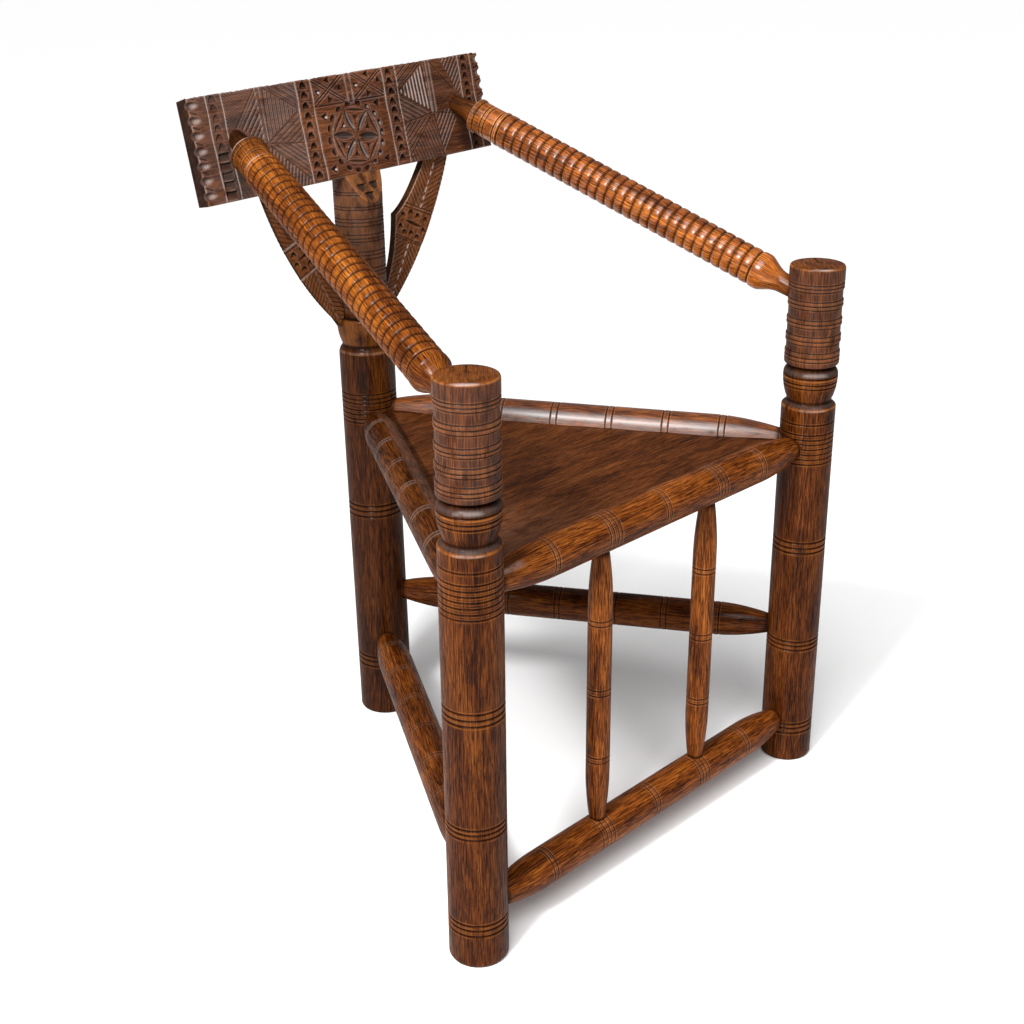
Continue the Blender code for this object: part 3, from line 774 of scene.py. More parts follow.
def roundRail(mesh, name):
    # degrees round a seat rail: 0 on top, 90 on the outside, -90 on the side towards the seat
    ends = zip(rails[name]["posts"], rails[name]["heights"])
    start, end = (np.array(postPoint(post, height * mm)) for post, height in ends)
    axis = (end - start) / np.linalg.norm(end - start)
    outward = np.cross(axis, (0, 0, 1))
    outward *= np.sign(outward @ start) / np.linalg.norm(outward)
    upward = np.cross(axis, outward)
    upward *= np.sign(upward[2])
    place = readPlaces(mesh)
    fromStart = place - start
    radial = fromStart - np.outer(fromStart @ axis, axis)
    return place, radial, np.degrees(np.arctan2(radial @ outward, radial @ upward))


def wearTop(mesh):
    # the near seat rail is rubbed smooth and a little flat along its inner top, where its grooves are cleared
    # and its colour is painted paler as a sheen
    place, radial, lean = roundRail(mesh, "rightSeatRail")
    rubbed = falling(lean, *railWear["rubbedFrom"]) * rising(lean, *railWear["rubbedTo"])
    for label, least in railWear["rubbedTones"].items():
        retone(mesh, label, railWear["rubbedShare"] * rubbed, least)
    flat = railWear["flatDepth"] * near(lean, *railWear["flat"]) ** 2
    away = np.linalg.norm(radial, axis=1)[:, None]
    writePlaces(mesh, place - radial / most(away, 1e-6) * flat[:, None])


def paleSheenSide(mesh):
    # a painted reflection lies low on the far seat rail's side towards the seat
    place, radial, lean = roundRail(mesh, "leftSeatRail")
    band = rising(lean, *railWear["paleSheenTo"]) * falling(lean, *railWear["paleSheenFrom"])
    backShare = (place[:, 1] - plan["frontY"]) / (plan["backY"] - plan["frontY"])
    band = band * most(falling(backShare, *railWear["paleSheenBack"]), railWear["paleSheenLeast"])
    retone(mesh, "pale", band * (1 - unit(readTone(mesh, "cavity"))), railWear["paleSheenPale"])


def paintTipLight(mesh):
    # the front seat rail has painted shade on top at its right end, and a painted highlight below that
    place, radial, lean = roundRail(mesh, "frontSeatRail")
    along = (place[:, 0] + plan["frontHalf"]) / mm
    shaded = falling(along, *railWear["tipShadeEnd"]) * near(lean, *railWear["tipShade"], 1.3)
    retone(mesh, "cavity", railWear["tipShadeShare"] * shaded, railWear["tipShadeWax"])
    bright = falling(along, *railWear["tipHighlightEnd"]) * near(lean, *railWear["tipHighlight"], 1.3)
    retone(mesh, "pale", bright, railWear["tipHighlightPale"])


wears = {"frontSeatRail": paintTipLight, "rightSeatRail": wearTop, "leftSeatRail": paleSheenSide}
for number, (name, rail) in enumerate(rails.items()):
    line = [postPoint(post, height * mm) for post, height in zip(rail["posts"], rail["heights"])]
    length = (line[1] - line[0]).length / mm
    faces = [plan["backRadius" if post == "back_post" else "frontRadius"] / mm for post in rail["posts"]]
    outline = railOutline(length, faces, rail, railSize, rail["grooves"], rail["pale"])
    reshape = wears.get(name)
    turnPiece(name, rail["node"], rail["oak"], line, outline, railSize, number, reshape=reshape)
print("rails turned:", len(rails))

# spindles between the front stretcher and the front seat rail: foot and head across the front
spindles = {
    "rightFrontSpindle": {"node": "right_front_spindle", "foot": -0.0985, "head": -0.0965},
    "leftFrontSpindle": {"node": "left_front_spindle", "foot": 0.0920, "head": 0.0965},
}
spindleSize = {
    "radius": 14.5, "endRadius": 9.5, "taper": 66, "grooves": (352, 346, 262.5, 255.2, 171.4, 164.4),
    "tip": 7.0, "sides": 40, "wobble": 0.008, "seeds": (41.3, 2.9),
}
for number, (name, spindle) in enumerate(spindles.items()):
    low, high = rails["frontStretcher"], rails["frontSeatRail"]
    footShare = spindle["foot"] / (2 * plan["frontHalf"]) + 0.5
    footHeight = low["heights"][0] + (low["heights"][1] - low["heights"][0]) * footShare
    foot = Vector((spindle["foot"], plan["frontY"], footHeight * mm))
    head = Vector((spindle["head"], plan["frontY"], high["heights"][0] * mm))
    length = (head - foot).length / mm
    grooves = [place - foot.z / mm for place in spindleSize["grooves"]]
    outline = railOutline(length, (low["radius"], high["radius"]), spindleSize, spindleSize, grooves)
    turnPiece(name, spindle["node"], "railOak", (foot, head), outline, spindleSize, number)
print("spindles turned")

# arms of stacked rings, from the middle of the neck on the crest's face to the front post's axis;
# valleys and grime, a painted shade on the neck, are from the crest, ringStop and postGrime from the post's
# axis
arms = {
    "rightArm": {
        "node": "right_arm", "post": "right_front_post", "postHeight": 0.6486, "oak": "armOak",
        "crestEnd": (-0.1829, plan["frontY"] + 0.5141, 0.8462), "ringStop": 84.4,
        "valleys": (32.6, 45.7, 58.5, 63.8, 74.5, 84.0), "grime": (8, 62, 1.0), "postGrime": (38, 10, 0.3),
    },
    "leftArm": {
        "node": "left_arm", "post": "left_front_post", "postHeight": 0.6454, "oak": "litArmOak",
        "crestEnd": (0.1783, plan["frontY"] + 0.5149, 0.8501), "ringStop": 87.9,
        "valleys": (34.7, 44.9, 56.7, 62.4, 77.5, 84.9), "grime": (10, 52, 0.92), "postGrime": (40, 22, 0.62),
    },
}
armSize = {
    "ringCount": 29, "ringRadius": 23.4, "grooveRadius": 21.2, "squareness": 3.2, "collar": 21.9,
    "bulb": 23.9,
    "lineCut": (0.9, 1.2), "valleyCut": (0.5, 1.4), "valleyRadius": 20.6, "spacing": 4.0, "ringStep": 0.9,
    "edgeOffsets": (2.4, 1.6), "edgePale": 0.35, "highlightSide": (-0.45, 0.45, 0.77),
    "highlightFrom": (0.62, 0.2), "highlightHalf": 1.6, "highlightPale": 0.9,
    "sides": 56, "wobble": 0.010, "seeds": (61.1, 5.3),
}


def brightEdges(arm):
    # the edges of the first ring and of the one after the collar
    return arm["valleys"][0] + armSize["edgeOffsets"][0], arm["valleys"][4] + armSize["edgeOffsets"][1]


def armOutline(arm, length):
    neck, ringEnd, lineA, lineB, collarEnd, ringStart = arm["valleys"]
    full, collar, low, bulb = (armSize[key] for key in ("ringRadius", "collar", "grooveRadius", "bulb"))
    valley = armSize["valleyRadius"]
    stop = length - arm["ringStop"]
    form = [
        (-14, 8.0), (0, 11.0), (neck - 3, 15.0), (neck - 0.4, 15.6), (neck + 0.6, 19.6),
        (neck + 3.2, full - 0.2), ((neck + ringEnd) / 2 + 1.0, full + 0.2), (ringEnd - 2.6, full - 0.3),
        (ringEnd, valley), (ringEnd + 1.6, collar), (collarEnd - 1.6, collar), (collarEnd, valley),
        (collarEnd + 1.8, full - 0.4), ((collarEnd + ringStart) / 2, full), (ringStart - 1.6, full - 0.4),
        (ringStart, low), (stop, low), (stop + 2.2, bulb - 0.7), (stop + 6, bulb), (stop + 12, bulb - 0.2),
        (length - 66, 19.4), (length - 58, 15.4), (length - 50, 13.2), (length - 37, 12.6),
        (length - 20, 11.0),
    ]
    valleys = (ringEnd, collarEnd, ringStart, stop)
    cuts = grooveCuts([((lineA, lineB), *armSize["lineCut"]), (valleys, *armSize["valleyCut"])])
    outline = turnedOutline(form, cuts, (), armSize["spacing"], [(ringStart, stop, armSize["ringStep"])])
    # these edges are painted paler all round, standing in for their highlight
    for edge in brightEdges(arm):
        tint(outline, "ridge", near(outline["along"], edge, 1.0, 1.4))
        tint(outline, "pale", armSize["edgePale"] * near(outline["along"], edge, 0.9, 1.2))
    fromPost, half, amount = arm["postGrime"]
    # wax in the neck's groove, painted shade where the arm meets the crest and the post and on the neck below
    # the crest, and grime towards the post
    waxed = (
        (neck, 3.0), (0.0, 6.0), arm["grime"], (length - plan["frontRadius"] / mm, 4.0),
        (length - fromPost, half, amount),
    )
    for corner in waxed:
        darken(outline, *corner)
    return outline


def paintEdgeHighlights(mesh):
    # painted highlights on the right arm's first rings, above, on the outer side
    arm = arms["rightArm"]
    start, end = np.array(arm["crestEnd"]), np.array(postPoint(arm["post"], arm["postHeight"]))
    axis = (end - start) / np.linalg.norm(end - start)
    place = readPlaces(mesh) - start
    along = place @ axis
    radial = place - along[:, None] * axis
    facing = radial @ np.array(armSize["highlightSide"]) / most(np.linalg.norm(radial, axis=1), 1e-6)
    for edge in brightEdges(arm):
        share = near(along / mm, edge, armSize["highlightHalf"], 1.5) * rising(facing, *armSize["highlightFrom"])
        retone(mesh, "pale", share, armSize["highlightPale"])


for number, (name, arm) in enumerate(arms.items()):
    line = Vector(arm["crestEnd"]), postPoint(arm["post"], arm["postHeight"])
    length = (line[1] - line[0]).length / mm
    rings = {
        "Ring Count": armSize["ringCount"], "Ring From": arm["valleys"][-1] * mm,
        "Ring To": (length - arm["ringStop"]) * mm, "Ring Squareness": armSize["squareness"],
        "Ring Rise": (armSize["ringRadius"] - armSize["grooveRadius"]) * mm,
    }
    outline = armOutline(arm, length)
    reshape = paintEdgeHighlights if name == "rightArm" else None
    turnPiece(name, arm["node"], arm["oak"], line, outline, armSize, number, rings, reshape)
print("arms turned:", armSize["ringCount"], "rings each")


# carved boards: a fine grid on the face, pushed in by the cuts
def hatchCut(u, v, corners, direction, spacing, half, deep, phase=0.0):
    # parallel V cuts inside a polygon without hollows; its corners run either way round
    edgeFade = 0.8
    corners = np.array(corners, float)
    sides = list(zip(corners, np.roll(corners, -1, 0)))
    area = sum(a[0] * b[1] - a[1] * b[0] for a, b in sides)
    inside = np.full_like(u, np.inf)
    for a, b in sides:
        edge = (b - a) / np.linalg.norm(b - a)
        inside = np.minimum(inside, np.sign(area) * ((v - a[1]) * edge[0] - (u - a[0]) * edge[1]))
    way = np.array(direction, float)
    way /= np.linalg.norm(way)
    across = (u * way[1] - v * way[0]) / spacing + phase
    away = np.abs(across - np.round(across)) * spacing
    return deep * unit(1 - away / half) * unit(inside / edgeFade)


def thumbShare(u, v, middle, width, height):
    # 0 at the foot of a thumbnail gouge and 1 at its domed head; outside it, 0
    x = (u - middle[0]) / (width / 2)
    dome = np.sqrt(unit(1 - x * x))
    y = (v - middle[1]) / height + 0.5
    share = np.where(dome > 0.05, y / most(dome, 0.05), 2.0)
    return np.where(within(share, 0, 1), share, 0.0), dome


def thumbCut(u, v, middle, width, height, deep):
    # thumbnail gouge: steep round wall at its head, running out at its foot
    share, dome = thumbShare(u, v, middle, width, height)
    return deep * np.where(share > 0, (0.12 + 0.88 * share) * dome ** 0.5, 0.0)


def leafCut(u, v, start, end, half, deep, power=1.0):
    run = np.array(end, float) - np.array(start, float)
    size = np.linalg.norm(run)
    share = ((u - start[0]) * run[0] + (v - start[1]) * run[1]) / size ** 2
    across = np.abs((u - start[0]) * run[1] - (v - start[1]) * run[0]) / size
    wide = half * np.sin(math.pi * unit(share))
    return deep * unit(1 - (across / most(wide, 1e-6)) ** power) * unit(wide / half) ** 0.5


def softened(field, reach):
    # mean over a square of cells
    padded = np.pad(field, reach, mode="edge")
    total = np.pad(padded.cumsum(0).cumsum(1), ((1, 0), (1, 0)))
    size = 2 * reach + 1
    block = total[size:, size:] - total[:-size, size:] - total[size:, :-size] + total[:-size, :-size]
    return block / size ** 2


# narrow strip behind a board's arris, metres, and the wax on its back
boardRule = {"strip": 0.0012, "stripShare": 0.4, "backWax": 0.15}


def boardMesh(name, face, back, tones, grains, wallWax, oak):
    # closed board: a grid of face points, a strip behind its arris, walls, and a back inside its own rim
    rows, columns = face.shape[:2]
    rim = [(0, c) for c in range(columns)] + [(r, columns - 1) for r in range(1, rows)]
    rim += [(rows - 1, c) for c in range(columns - 2, -1, -1)] + [(r, 0) for r in range(rows - 2, 0, -1)]
    r, c = np.array(rim).T
    edge, far = face[r, c], back[r, c]
    reach = np.linalg.norm(far - edge, axis=1)[:, None]
    strip = edge + (far - edge) * np.minimum(boardRule["strip"] / reach, boardRule["stripShare"])
    inR, inC = np.clip(r, 1, rows - 2), np.clip(c, 1, columns - 2)
    inner = far + 0.5 * (back[inR, c] - far) + 0.5 * (back[r, inC] - far)
    points = np.concatenate((face.reshape(-1, 3), strip, far, inner))
    index = np.arange(rows * columns).reshape(rows, columns)
    quads = np.stack((index[:-1, :-1], index[:-1, 1:], index[1:, 1:], index[1:, :-1]), -1).reshape(-1, 4)
    loops = [index[r, c]] + [rows * columns + step * len(rim) + np.arange(len(rim)) for step in range(3)]
    walls = [np.stack((a, np.roll(a, -1), np.roll(b, -1), b), -1) for a, b in zip(loops, loops[1:])]
    mesh = bpy.data.meshes.new(name)
    faces = quads.tolist() + np.concatenate(walls).tolist() + [loops[-1].tolist()]
    mesh.from_pydata(points.tolist(), [], faces)

    def attach(label, kind, key, *parts):
        values = np.concatenate(parts).astype(np.float32).ravel()
        mesh.attributes.new(label, kind, "POINT").data.foreach_set(key, values)

    faceGrain, backGrain = grains[0].reshape(-1, 3), grains[1][r, c]
    attach("grain", "FLOAT_VECTOR", "vector", faceGrain, faceGrain[loops[0]], backGrain, backGrain)
    plainTones = {"cavity": (wallWax, boardRule["backWax"]), "ridge": (0.0, 0.0), "pale": (0.0, 0.0)}
    for label, (wall, behind) in plainTones.items():
        wallTone, backTone = np.full(len(rim), wall), np.full(len(rim), behind)
        attach(label, "FLOAT", "value", tones[label].ravel(), wallTone, wallTone, backTone)
    mesh.materials.append(oaks[oak])
    smooth = np.ones(len(mesh.polygons), bool)
    smooth[len(quads):] = False
    mesh.polygons.foreach_set("use_smooth", smooth)
    return mesh


# crest carving, millimetres: u from the middle of the chair, v up from the crest's foot
carving = {
    "columnLines": (-214, -191.5, -80, -56.5, 62, 84.5, 198, 220.5), "columnDeep": 0.9, "columnPale": 0.85,
    "thumbColumns": (
        (-204, 121, 11.4, 11), (-68.5, 119.5, 12.25, 10), (73, 119.5, 12.25, 10), (208.5, 121, 11.4, 11),
    ),
    "thumbSize": (10.8, 9.0, 3.6), "rightThumbs": 0.55,
    "shelfTop": 62.0, "shelfHalf": 8.4, "shelfDeep": 3.4, "shelfWax": 0.85, "shelfPale": 0.4,
    "saltires": ((-55, -4.5), (10.5, 60)), "saltireFoot": 91.5, "saltireCut": (1.6, 1.4), "saltireGap": 1.9,
    "footLine": (-56, 62), "footCut": (1.2, 1.1),
    "middleLines": (-0.8, 7.6), "middleTop": 130, "middleCut": (1.3, 1.1), "middlePale": (1.1, 0.5),
    "cornerChips": ((-43, 78), (-43, 13), (45, 84), (47, 13)), "cornerChipSize": 7.2, "cornerChipTurn": 0.4,
    "fieldChips": (
        (-47, 108.5), (-29.5, 97.5), (-10.5, 110), (-29, 121.5),
        (15.5, 110), (34.5, 97.5), (54, 112), (35.5, 121.5),
    ),
    "fieldChipSize": 6.2, "chipDeep": 2.6, "chipWax": 0.9,
    "glints": ((-45.5, 108), (17, 109.5), (-40.5, 77), (-40.5, 12), (-14.5, 62.5), (-14, 36)),
    "glintHalf": 1.3, "glintPale": 0.8,
    "panels": ((-137, 1), (140.5, -1)), "panelWax": 0.20, "rightPanelPale": 0.045,
    "armShadows": ((-190, 26), (198, 24)), "armShadowReach": (30, 52), "armShadowDark": 0.75,
    "hatchHalf": 1.35, "hatchDeep": 1.15, "hatchMost": 0.42,
    "lipSpacing": 4, "lipPale": {0: 0.2, 1: 0.62, -1: 0.75}, "lipCut": (1.0, 1.0), "lipShift": 1.25,
    "borderCut": (1.3, 1.2), "borderPale": 0.42,
    "endGouges": (117, 99.5, 82, 64, 46.5, 29.5, 11.5), "endHalf": 4.9, "endPale": 0.5, "endDark": 0.8,
    "ends": ((crest["left"], 1, 15.0, 6.0), (crest["right"], -1, 9.5, 5.0)),
    "curl": ((0.5, 10.5), (10.0, 6.8)), "curlDeep": 1.4, "curlWax": 0.8,
}

# hatched fields of a crest panel: corners, direction of the cuts, spacing and strength;
# the first number of a corner runs from the panel's point towards the middle of the crest
panelFields = {
    "both": (
        (((6.5, 124), (55.5, 92), (2, 60)), (0.06, 1), 5.8, 1.25),
        (((-1, 131), (56, 131), (56, 94)), (48, -32.5), 6.2, 1.1),
        (((0, 59.5), (56, 91), (56, 52.5)), (56, 32), 5.6, 1.0),
        (((0, 58), (56, 51), (56, 9)), (46, -36), 5.2, 1.0),
        (((0, 57), (55, 7), (55, 0), (-6, 0)), (-0.33, -1), 5.2, 1.05),
        (((-2, 58), (-46, 52), (-54, 60), (-54, 80), (-41, 84)), (0.55, 0.83), 3.2, 0.5),
    ),
    "right": (
        (((-1, 56), (-7, 0), (-54, 0), (-44, 50)), (-0.62, 0.78), 5.4, 1.0),
        (((-2, 124), (-2, 62), (-38, 82)), (-0.67, -0.74), 5.6, 1.05),
        (((0, 131), (-54, 131), (-54, 84), (-42, 84)), (0.8, -0.6), 3.2, 0.5),
    ),
    "left": (
        (((-1, 56), (-7, 0), (-40, 44), (-28, 60)), (-0.62, 0.78), 5.4, 1.0),
        (((-8, 117), (-8, 64), (-40, 86)), (0.6, 0.8), 3.2, 0.5),
        (((-6, 131), (-56, 131), (-56, 62), (-44, 86)), (-0.64, 0.77), 5.2, 1.05),
    ),
    "borders": (
        ((1.5, 59), (1.5, 126.5)), ((-4.5, 59), (-4.5, 126.5)), ((0, 59), (56, 92)), ((0, 59), (56, 52)),
        ((0, 59), (56, 7)), ((8, 125), (56, 93)), ((0, 59), (-7, 0)), ((0, 59), (-46, 51)),
        ((-6, 124), (-42, 83)),
    ),
}


def carvePanel(u, v, middle, side):
    a = (u - middle) * side
    cut, lips = np.zeros_like(u), np.zeros_like(u)
    fields = panelFields["both"] + panelFields["right" if side > 0 else "left"]
    for number, (corners, direction, spacing, strength) in enumerate(fields):
        half = min(carving["hatchHalf"], spacing * carving["hatchMost"])
        cut = most(cut, hatchCut(a, v, corners, direction, spacing, half, carving["hatchDeep"] * strength))
        # one lip of each wide cut is painted pale as a highlight, most in the first field, whose cuts are
        # upright
        if spacing > carving["lipSpacing"]:
            share = carving["lipPale"][side if number == 0 else 0]
            shift = carving["lipShift"] / spacing
            lips = most(lips, share * hatchCut(a, v, corners, direction, spacing, *carving["lipCut"], shift))
    borders = panelFields["borders"]
    cut = most(cut, linesCut(a, v, borders, *carving["borderCut"]))
    paleLines = sum(lineCut(a, v, *border, 1.2, 1.0) for border in borders[:2])
    return cut, unit(carving["borderPale"] * paleLines + lips)


# roundel of six leaves in a ring, with gouges round it;
# leafHalf, lips and lipPale are for a leaf that lies level, then for one that stands; the lips are painted
# highlights along one edge of a leaf
roundel = {
    "middle": (2.0, 48.5), "radius": 37.0, "turn": math.radians(-9),
    "leafHalf": (5.2, 4.2), "leafDeep": 3.2, "leafPower": 1.8, "leafRoot": 0.10, "leafPale": 0.045,
    "lips": ((0.0, -0.4), (0.45, 0.0)), "lipPale": (0.14, 0.38), "lipFrom": 0.28, "lipTo": 0.86,
    "lipNarrow": 0.6, "sideLeaf": (2.6, 1.6),
    "chipPlace": 0.62, "chipSize": 6.4, "chipDeep": 2.4, "chipWax": 0.7, "chipShade": 1.6,
    "arcOut": 1.0, "arcHalf": 1.1, "arcDeep": 0.6, "arcPale": 0.4,
    "gouges": 18, "gougeOut": 5.6, "gougeHalf": (5.0, 3.6), "gougeDeep": 2.8, "gougeWax": 0.9,
    "gougePale": 0.4,
    "strayTurn": math.radians(9), "strayPlace": math.radians(50), "squash": 0.07,
}


def carveRoundel(u, v):
    middle, radius = np.array(roundel["middle"]), roundel["radius"]
    cut, pale, dark = np.zeros_like(u), np.zeros_like(u), np.zeros_like(u)
    turns = roundel["turn"] + np.arange(6) * math.pi / 3
    tips = [middle + radius * np.array((math.cos(turn), math.sin(turn))) for turn in turns]
    for tip, before in zip(tips, tips[-1:] + tips):
        run = tip - middle
        upright = int(abs(run[1]) > abs(run[0]))
        half = roundel["leafHalf"][upright]
        root = middle + roundel["leafRoot"] * run
        leaf = leafCut(u, v, root, tip, half, roundel["leafDeep"], roundel["leafPower"])
        lip = half * np.array(roundel["lips"][upright])
        lipStart = middle + roundel["lipFrom"] * run + lip
        lipEnd = middle + roundel["lipTo"] * run + roundel["lipNarrow"] * lip
        pale = most(pale, roundel["lipPale"][upright] * lineCut(u, v, lipStart, lipEnd, 1.2, 1.0))
        pale = most(pale, roundel["leafPale"] * unit(leaf))
        chip = middle + roundel["chipPlace"] * ((tip + before) / 2 - middle) / math.cos(math.pi / 6)
        facing = math.atan2(chip[1] - middle[1], chip[0] - middle[0]) - math.pi / 2
        pit = triangleChip(u, v, chip, roundel["chipSize"], 1.0, facing)
        dark = most(dark, unit(leaf - 0.15))
        dark = most(dark, roundel["chipWax"] * unit(roundel["chipShade"] * pit))
        for part in (leaf, leafCut(u, v, tip, before, *roundel["sideLeaf"]), roundel["chipDeep"] * pit):
            cut = most(cut, part)
    away = np.hypot(u - middle[0], v - middle[1])
    arc = near(away, radius + roundel["arcOut"], roundel["arcHalf"])
    cut = most(cut, roundel["arcDeep"] * arc)
    pale = most(pale, roundel["arcPale"] * arc * unit(2.4 * np.abs(u - middle[0]) / radius - 1.4))
    for turn in roundel["turn"] + (np.arange(roundel["gouges"]) + 0.5) * 2 * math.pi / roundel["gouges"]:
        # the gouges at the upper right stray a little, and those at the top sit closer
        turn -= roundel["strayTurn"] * max(0.0, math.cos(turn - roundel["strayPlace"])) ** 2
        squash = 1 - roundel["squash"] * max(0.0, math.sin(turn)) ** 2
        spot = middle + (radius + roundel["gougeOut"]) * np.array((math.cos(turn), squash * math.sin(turn)))
        out = (u - spot[0]) * math.cos(turn) + (v - spot[1]) * math.sin(turn)
        along = -(u - spot[0]) * math.sin(turn) + (v - spot[1]) * math.cos(turn)
        pit = 1 - (along / roundel["gougeHalf"][0]) ** 2 - (out / roundel["gougeHalf"][1]) ** 2
        bite = np.sqrt(unit(pit)) * unit(0.65 + out / 6.0)
        cut = most(cut, roundel["gougeDeep"] * bite)
        dark = most(dark, roundel["gougeWax"] * unit(2 * bite))
        # the gouges on the right carry a painted highlight
        if math.cos(turn) > 0.5:
            pale = most(pale, roundel["gougePale"] * unit(3 * bite - 1.2) * (along < 0.5))
    return cut, pale, dark


def carveColumns(u, v, cut, pale, dark):
    # pairs of pale lines, each with a column of thumbnail gouges between them
    wave = 0.5 * np.sin(v / 19.0 + 1.0) + 0.35 * np.sin(v / 7.3)
    for line in carving["columnLines"]:
        cut = most(cut, carving["columnDeep"] * near(u - wave, line, 1.3))
        pale = most(pale, carving["columnPale"] * near(u - wave, line, 0.95))
    width, tall, deep = carving["thumbSize"]
    for column, (middle, top, pitch, count) in enumerate(carving["thumbColumns"]):
        for step in range(count):
            sideways, upward = 0.6 * math.sin(step * 2.1 + middle), 0.5 * math.sin(step * 1.7)
            spot = (middle + sideways, top - step * pitch + upward)
            if column == 0 and spot[1] < carving["shelfTop"]:
                # low down on the right end the chips run together into shelves
                low = spot[1] - pitch / 2
                inShelf = unit(carving["shelfHalf"] - np.abs(u - middle - 0.8)) * within(v, low, low + pitch)
                fall = rising(v, low, pitch)
                foot = near(v, low + 0.6, 0.9) * (np.abs(u - middle) < 6.5)
                cut = most(cut, carving["shelfDeep"] * fall * inShelf)
                dark = most(dark, carving["shelfWax"] * inShelf * unit(2.5 * fall))
                pale = most(pale, carving["shelfPale"] * foot)
                continue
            strength = carving["rightThumbs"] if column == 0 else 1.0
            # the head of each gouge is painted dark as its shaded steep wall
            shade = unit(2.6 * thumbShare(u, v, spot, width, tall)[0] - 0.25)
            cut = most(cut, strength * thumbCut(u, v, spot, width, tall, deep))
            dark = most(dark, strength * shade)
    return cut, pale, dark


def carveSaltires(u, v, cut, pale):
    # two crosses of double lines above a level one, with two pale lines between them
    foot, top = carving["saltireFoot"], crest["height"] - 0.5
    (level, levelEnd), gap = carving["footLine"], carving["saltireGap"]
    cut = most(cut, lineCut(u, v, (level, foot), (levelEnd, foot), *carving["footCut"]))
    for left, right in carving["saltires"]:
        for shift in (-gap, gap):
            low, high = foot + 2 + shift, top - 1 + shift
            crossed = ((left + 1, low), (right - 1, high)), ((left + 1, high), (right - 1, low))
            cut = most(cut, linesCut(u, v, crossed, *carving["saltireCut"]))
    middles = [((line, foot), (line, carving["middleTop"])) for line in carving["middleLines"]]
    cut = most(cut, linesCut(u, v, middles, *carving["middleCut"]))
    return cut, most(pale, linesCut(u, v, middles, *carving["middlePale"]))


def carveEnds(u, v, cut, pale, dark):
    # gouges over the front edge of both ends, with a painted highlight in the middle and painted shade round
    # it, and a curled nick above each
    for edge, sign, reach, deep in carving["ends"]:
        away = (u - edge) * sign
        for place in carving["endGouges"]:
            across = unit(1 - ((v - place) / carving["endHalf"]) ** 2)
            share = away / (reach * np.sqrt(across) + 1e-6)
            glint = across * near(share, 0.60, 0.30, 1.4) * (0.78 + 0.22 * np.sin(2.3 * u))
            glint = glint * unit(1.25 - np.clip(v - place, 0, None) / 3.2)
            shade = unit(1 - 1.5 * glint) * unit(1.2 - across) * (across > 0) * (share < 1)
            (nearEnd, rise), (farEnd, fall) = carving["curl"]
            curl = lineCut(away, v, (nearEnd, place + rise), (farEnd, place + fall), 1.5, 1.0)
            cut = most(cut, most(deep * across ** 0.7 * unit(1 - share), carving["curlDeep"] * curl))
            pale = most(pale, carving["endPale"] * glint)
            dark = most(dark, most(carving["endDark"] * shade, carving["curlWax"] * curl))
    return cut, pale, dark


def carveCrest(u, v):
    cut, pale, dark = carveColumns(u, v, *(np.zeros_like(u) for layer in range(3)))
    for middle, side in carving["panels"]:
        inPanel, inPale = carvePanel(u, v, middle, side)
        cut, pale = most(cut, inPanel), most(pale, inPale)
    cut, pale = carveSaltires(u, v, cut, pale)
    chips = [(chip, carving["cornerChipSize"], carving["cornerChipTurn"]) for chip in carving["cornerChips"]]
    for number, chip in enumerate(carving["fieldChips"]):
        chips.append((chip, carving["fieldChipSize"], number * math.pi / 2))
    for chip, size, turn in chips:
        pit = triangleChip(u, v, chip, size, carving["chipDeep"], turn)
        cut, dark = most(cut, pit), most(dark, carving["chipWax"] * unit(pit))
    for x, y in carving["glints"]:
        pale = most(pale, carving["glintPale"] * unit(1.4 - np.hypot(u - x, v - y) / carving["glintHalf"]))
    inCut, inPale, inDark = carveRoundel(u, v)
    cut, pale, dark = most(cut, inCut), most(pale, inPale), most(dark, inDark)
    # the flat panels are darker than the middle, the right panel has a faint painted sheen, and painted
    # shadows darken the corners below the arms
    inner, outer = carving["columnLines"][2], carving["columnLines"][5]
    dark = most(dark, carving["panelWax"] * ((u < inner) | (u > outer)))
    pale = most(pale, carving["rightPanelPale"] * (u < inner))
    wide, tall = carving["armShadowReach"]
    for x, y in carving["armShadows"]:
        dark = most(dark, carving["armShadowDark"] * unit(1.7 - 1.7 * np.hypot((u - x) / wide, (v - y) / tall)))
    return carveEnds(u, v, cut, pale, dark)


# millimetres: cuts darken where they are deeper than what is round them, and lips are worn where proud
reliefRule = {"deepReach": 3.0, "deepRange": 0.75, "proudReach": 1.6, "proudRange": 0.5, "proudShare": 0.78}


def reliefTones(cut, cell):
    reaches = (max(1, round(reliefRule[key] / cell)) for key in ("deepReach", "proudReach"))
    around, close = (softened(cut, reach) for reach in reaches)
    cavity = unit((cut - around) / reliefRule["deepRange"])
    return cavity, reliefRule["proudShare"] * unit((close - cut) / reliefRule["proudRange"])


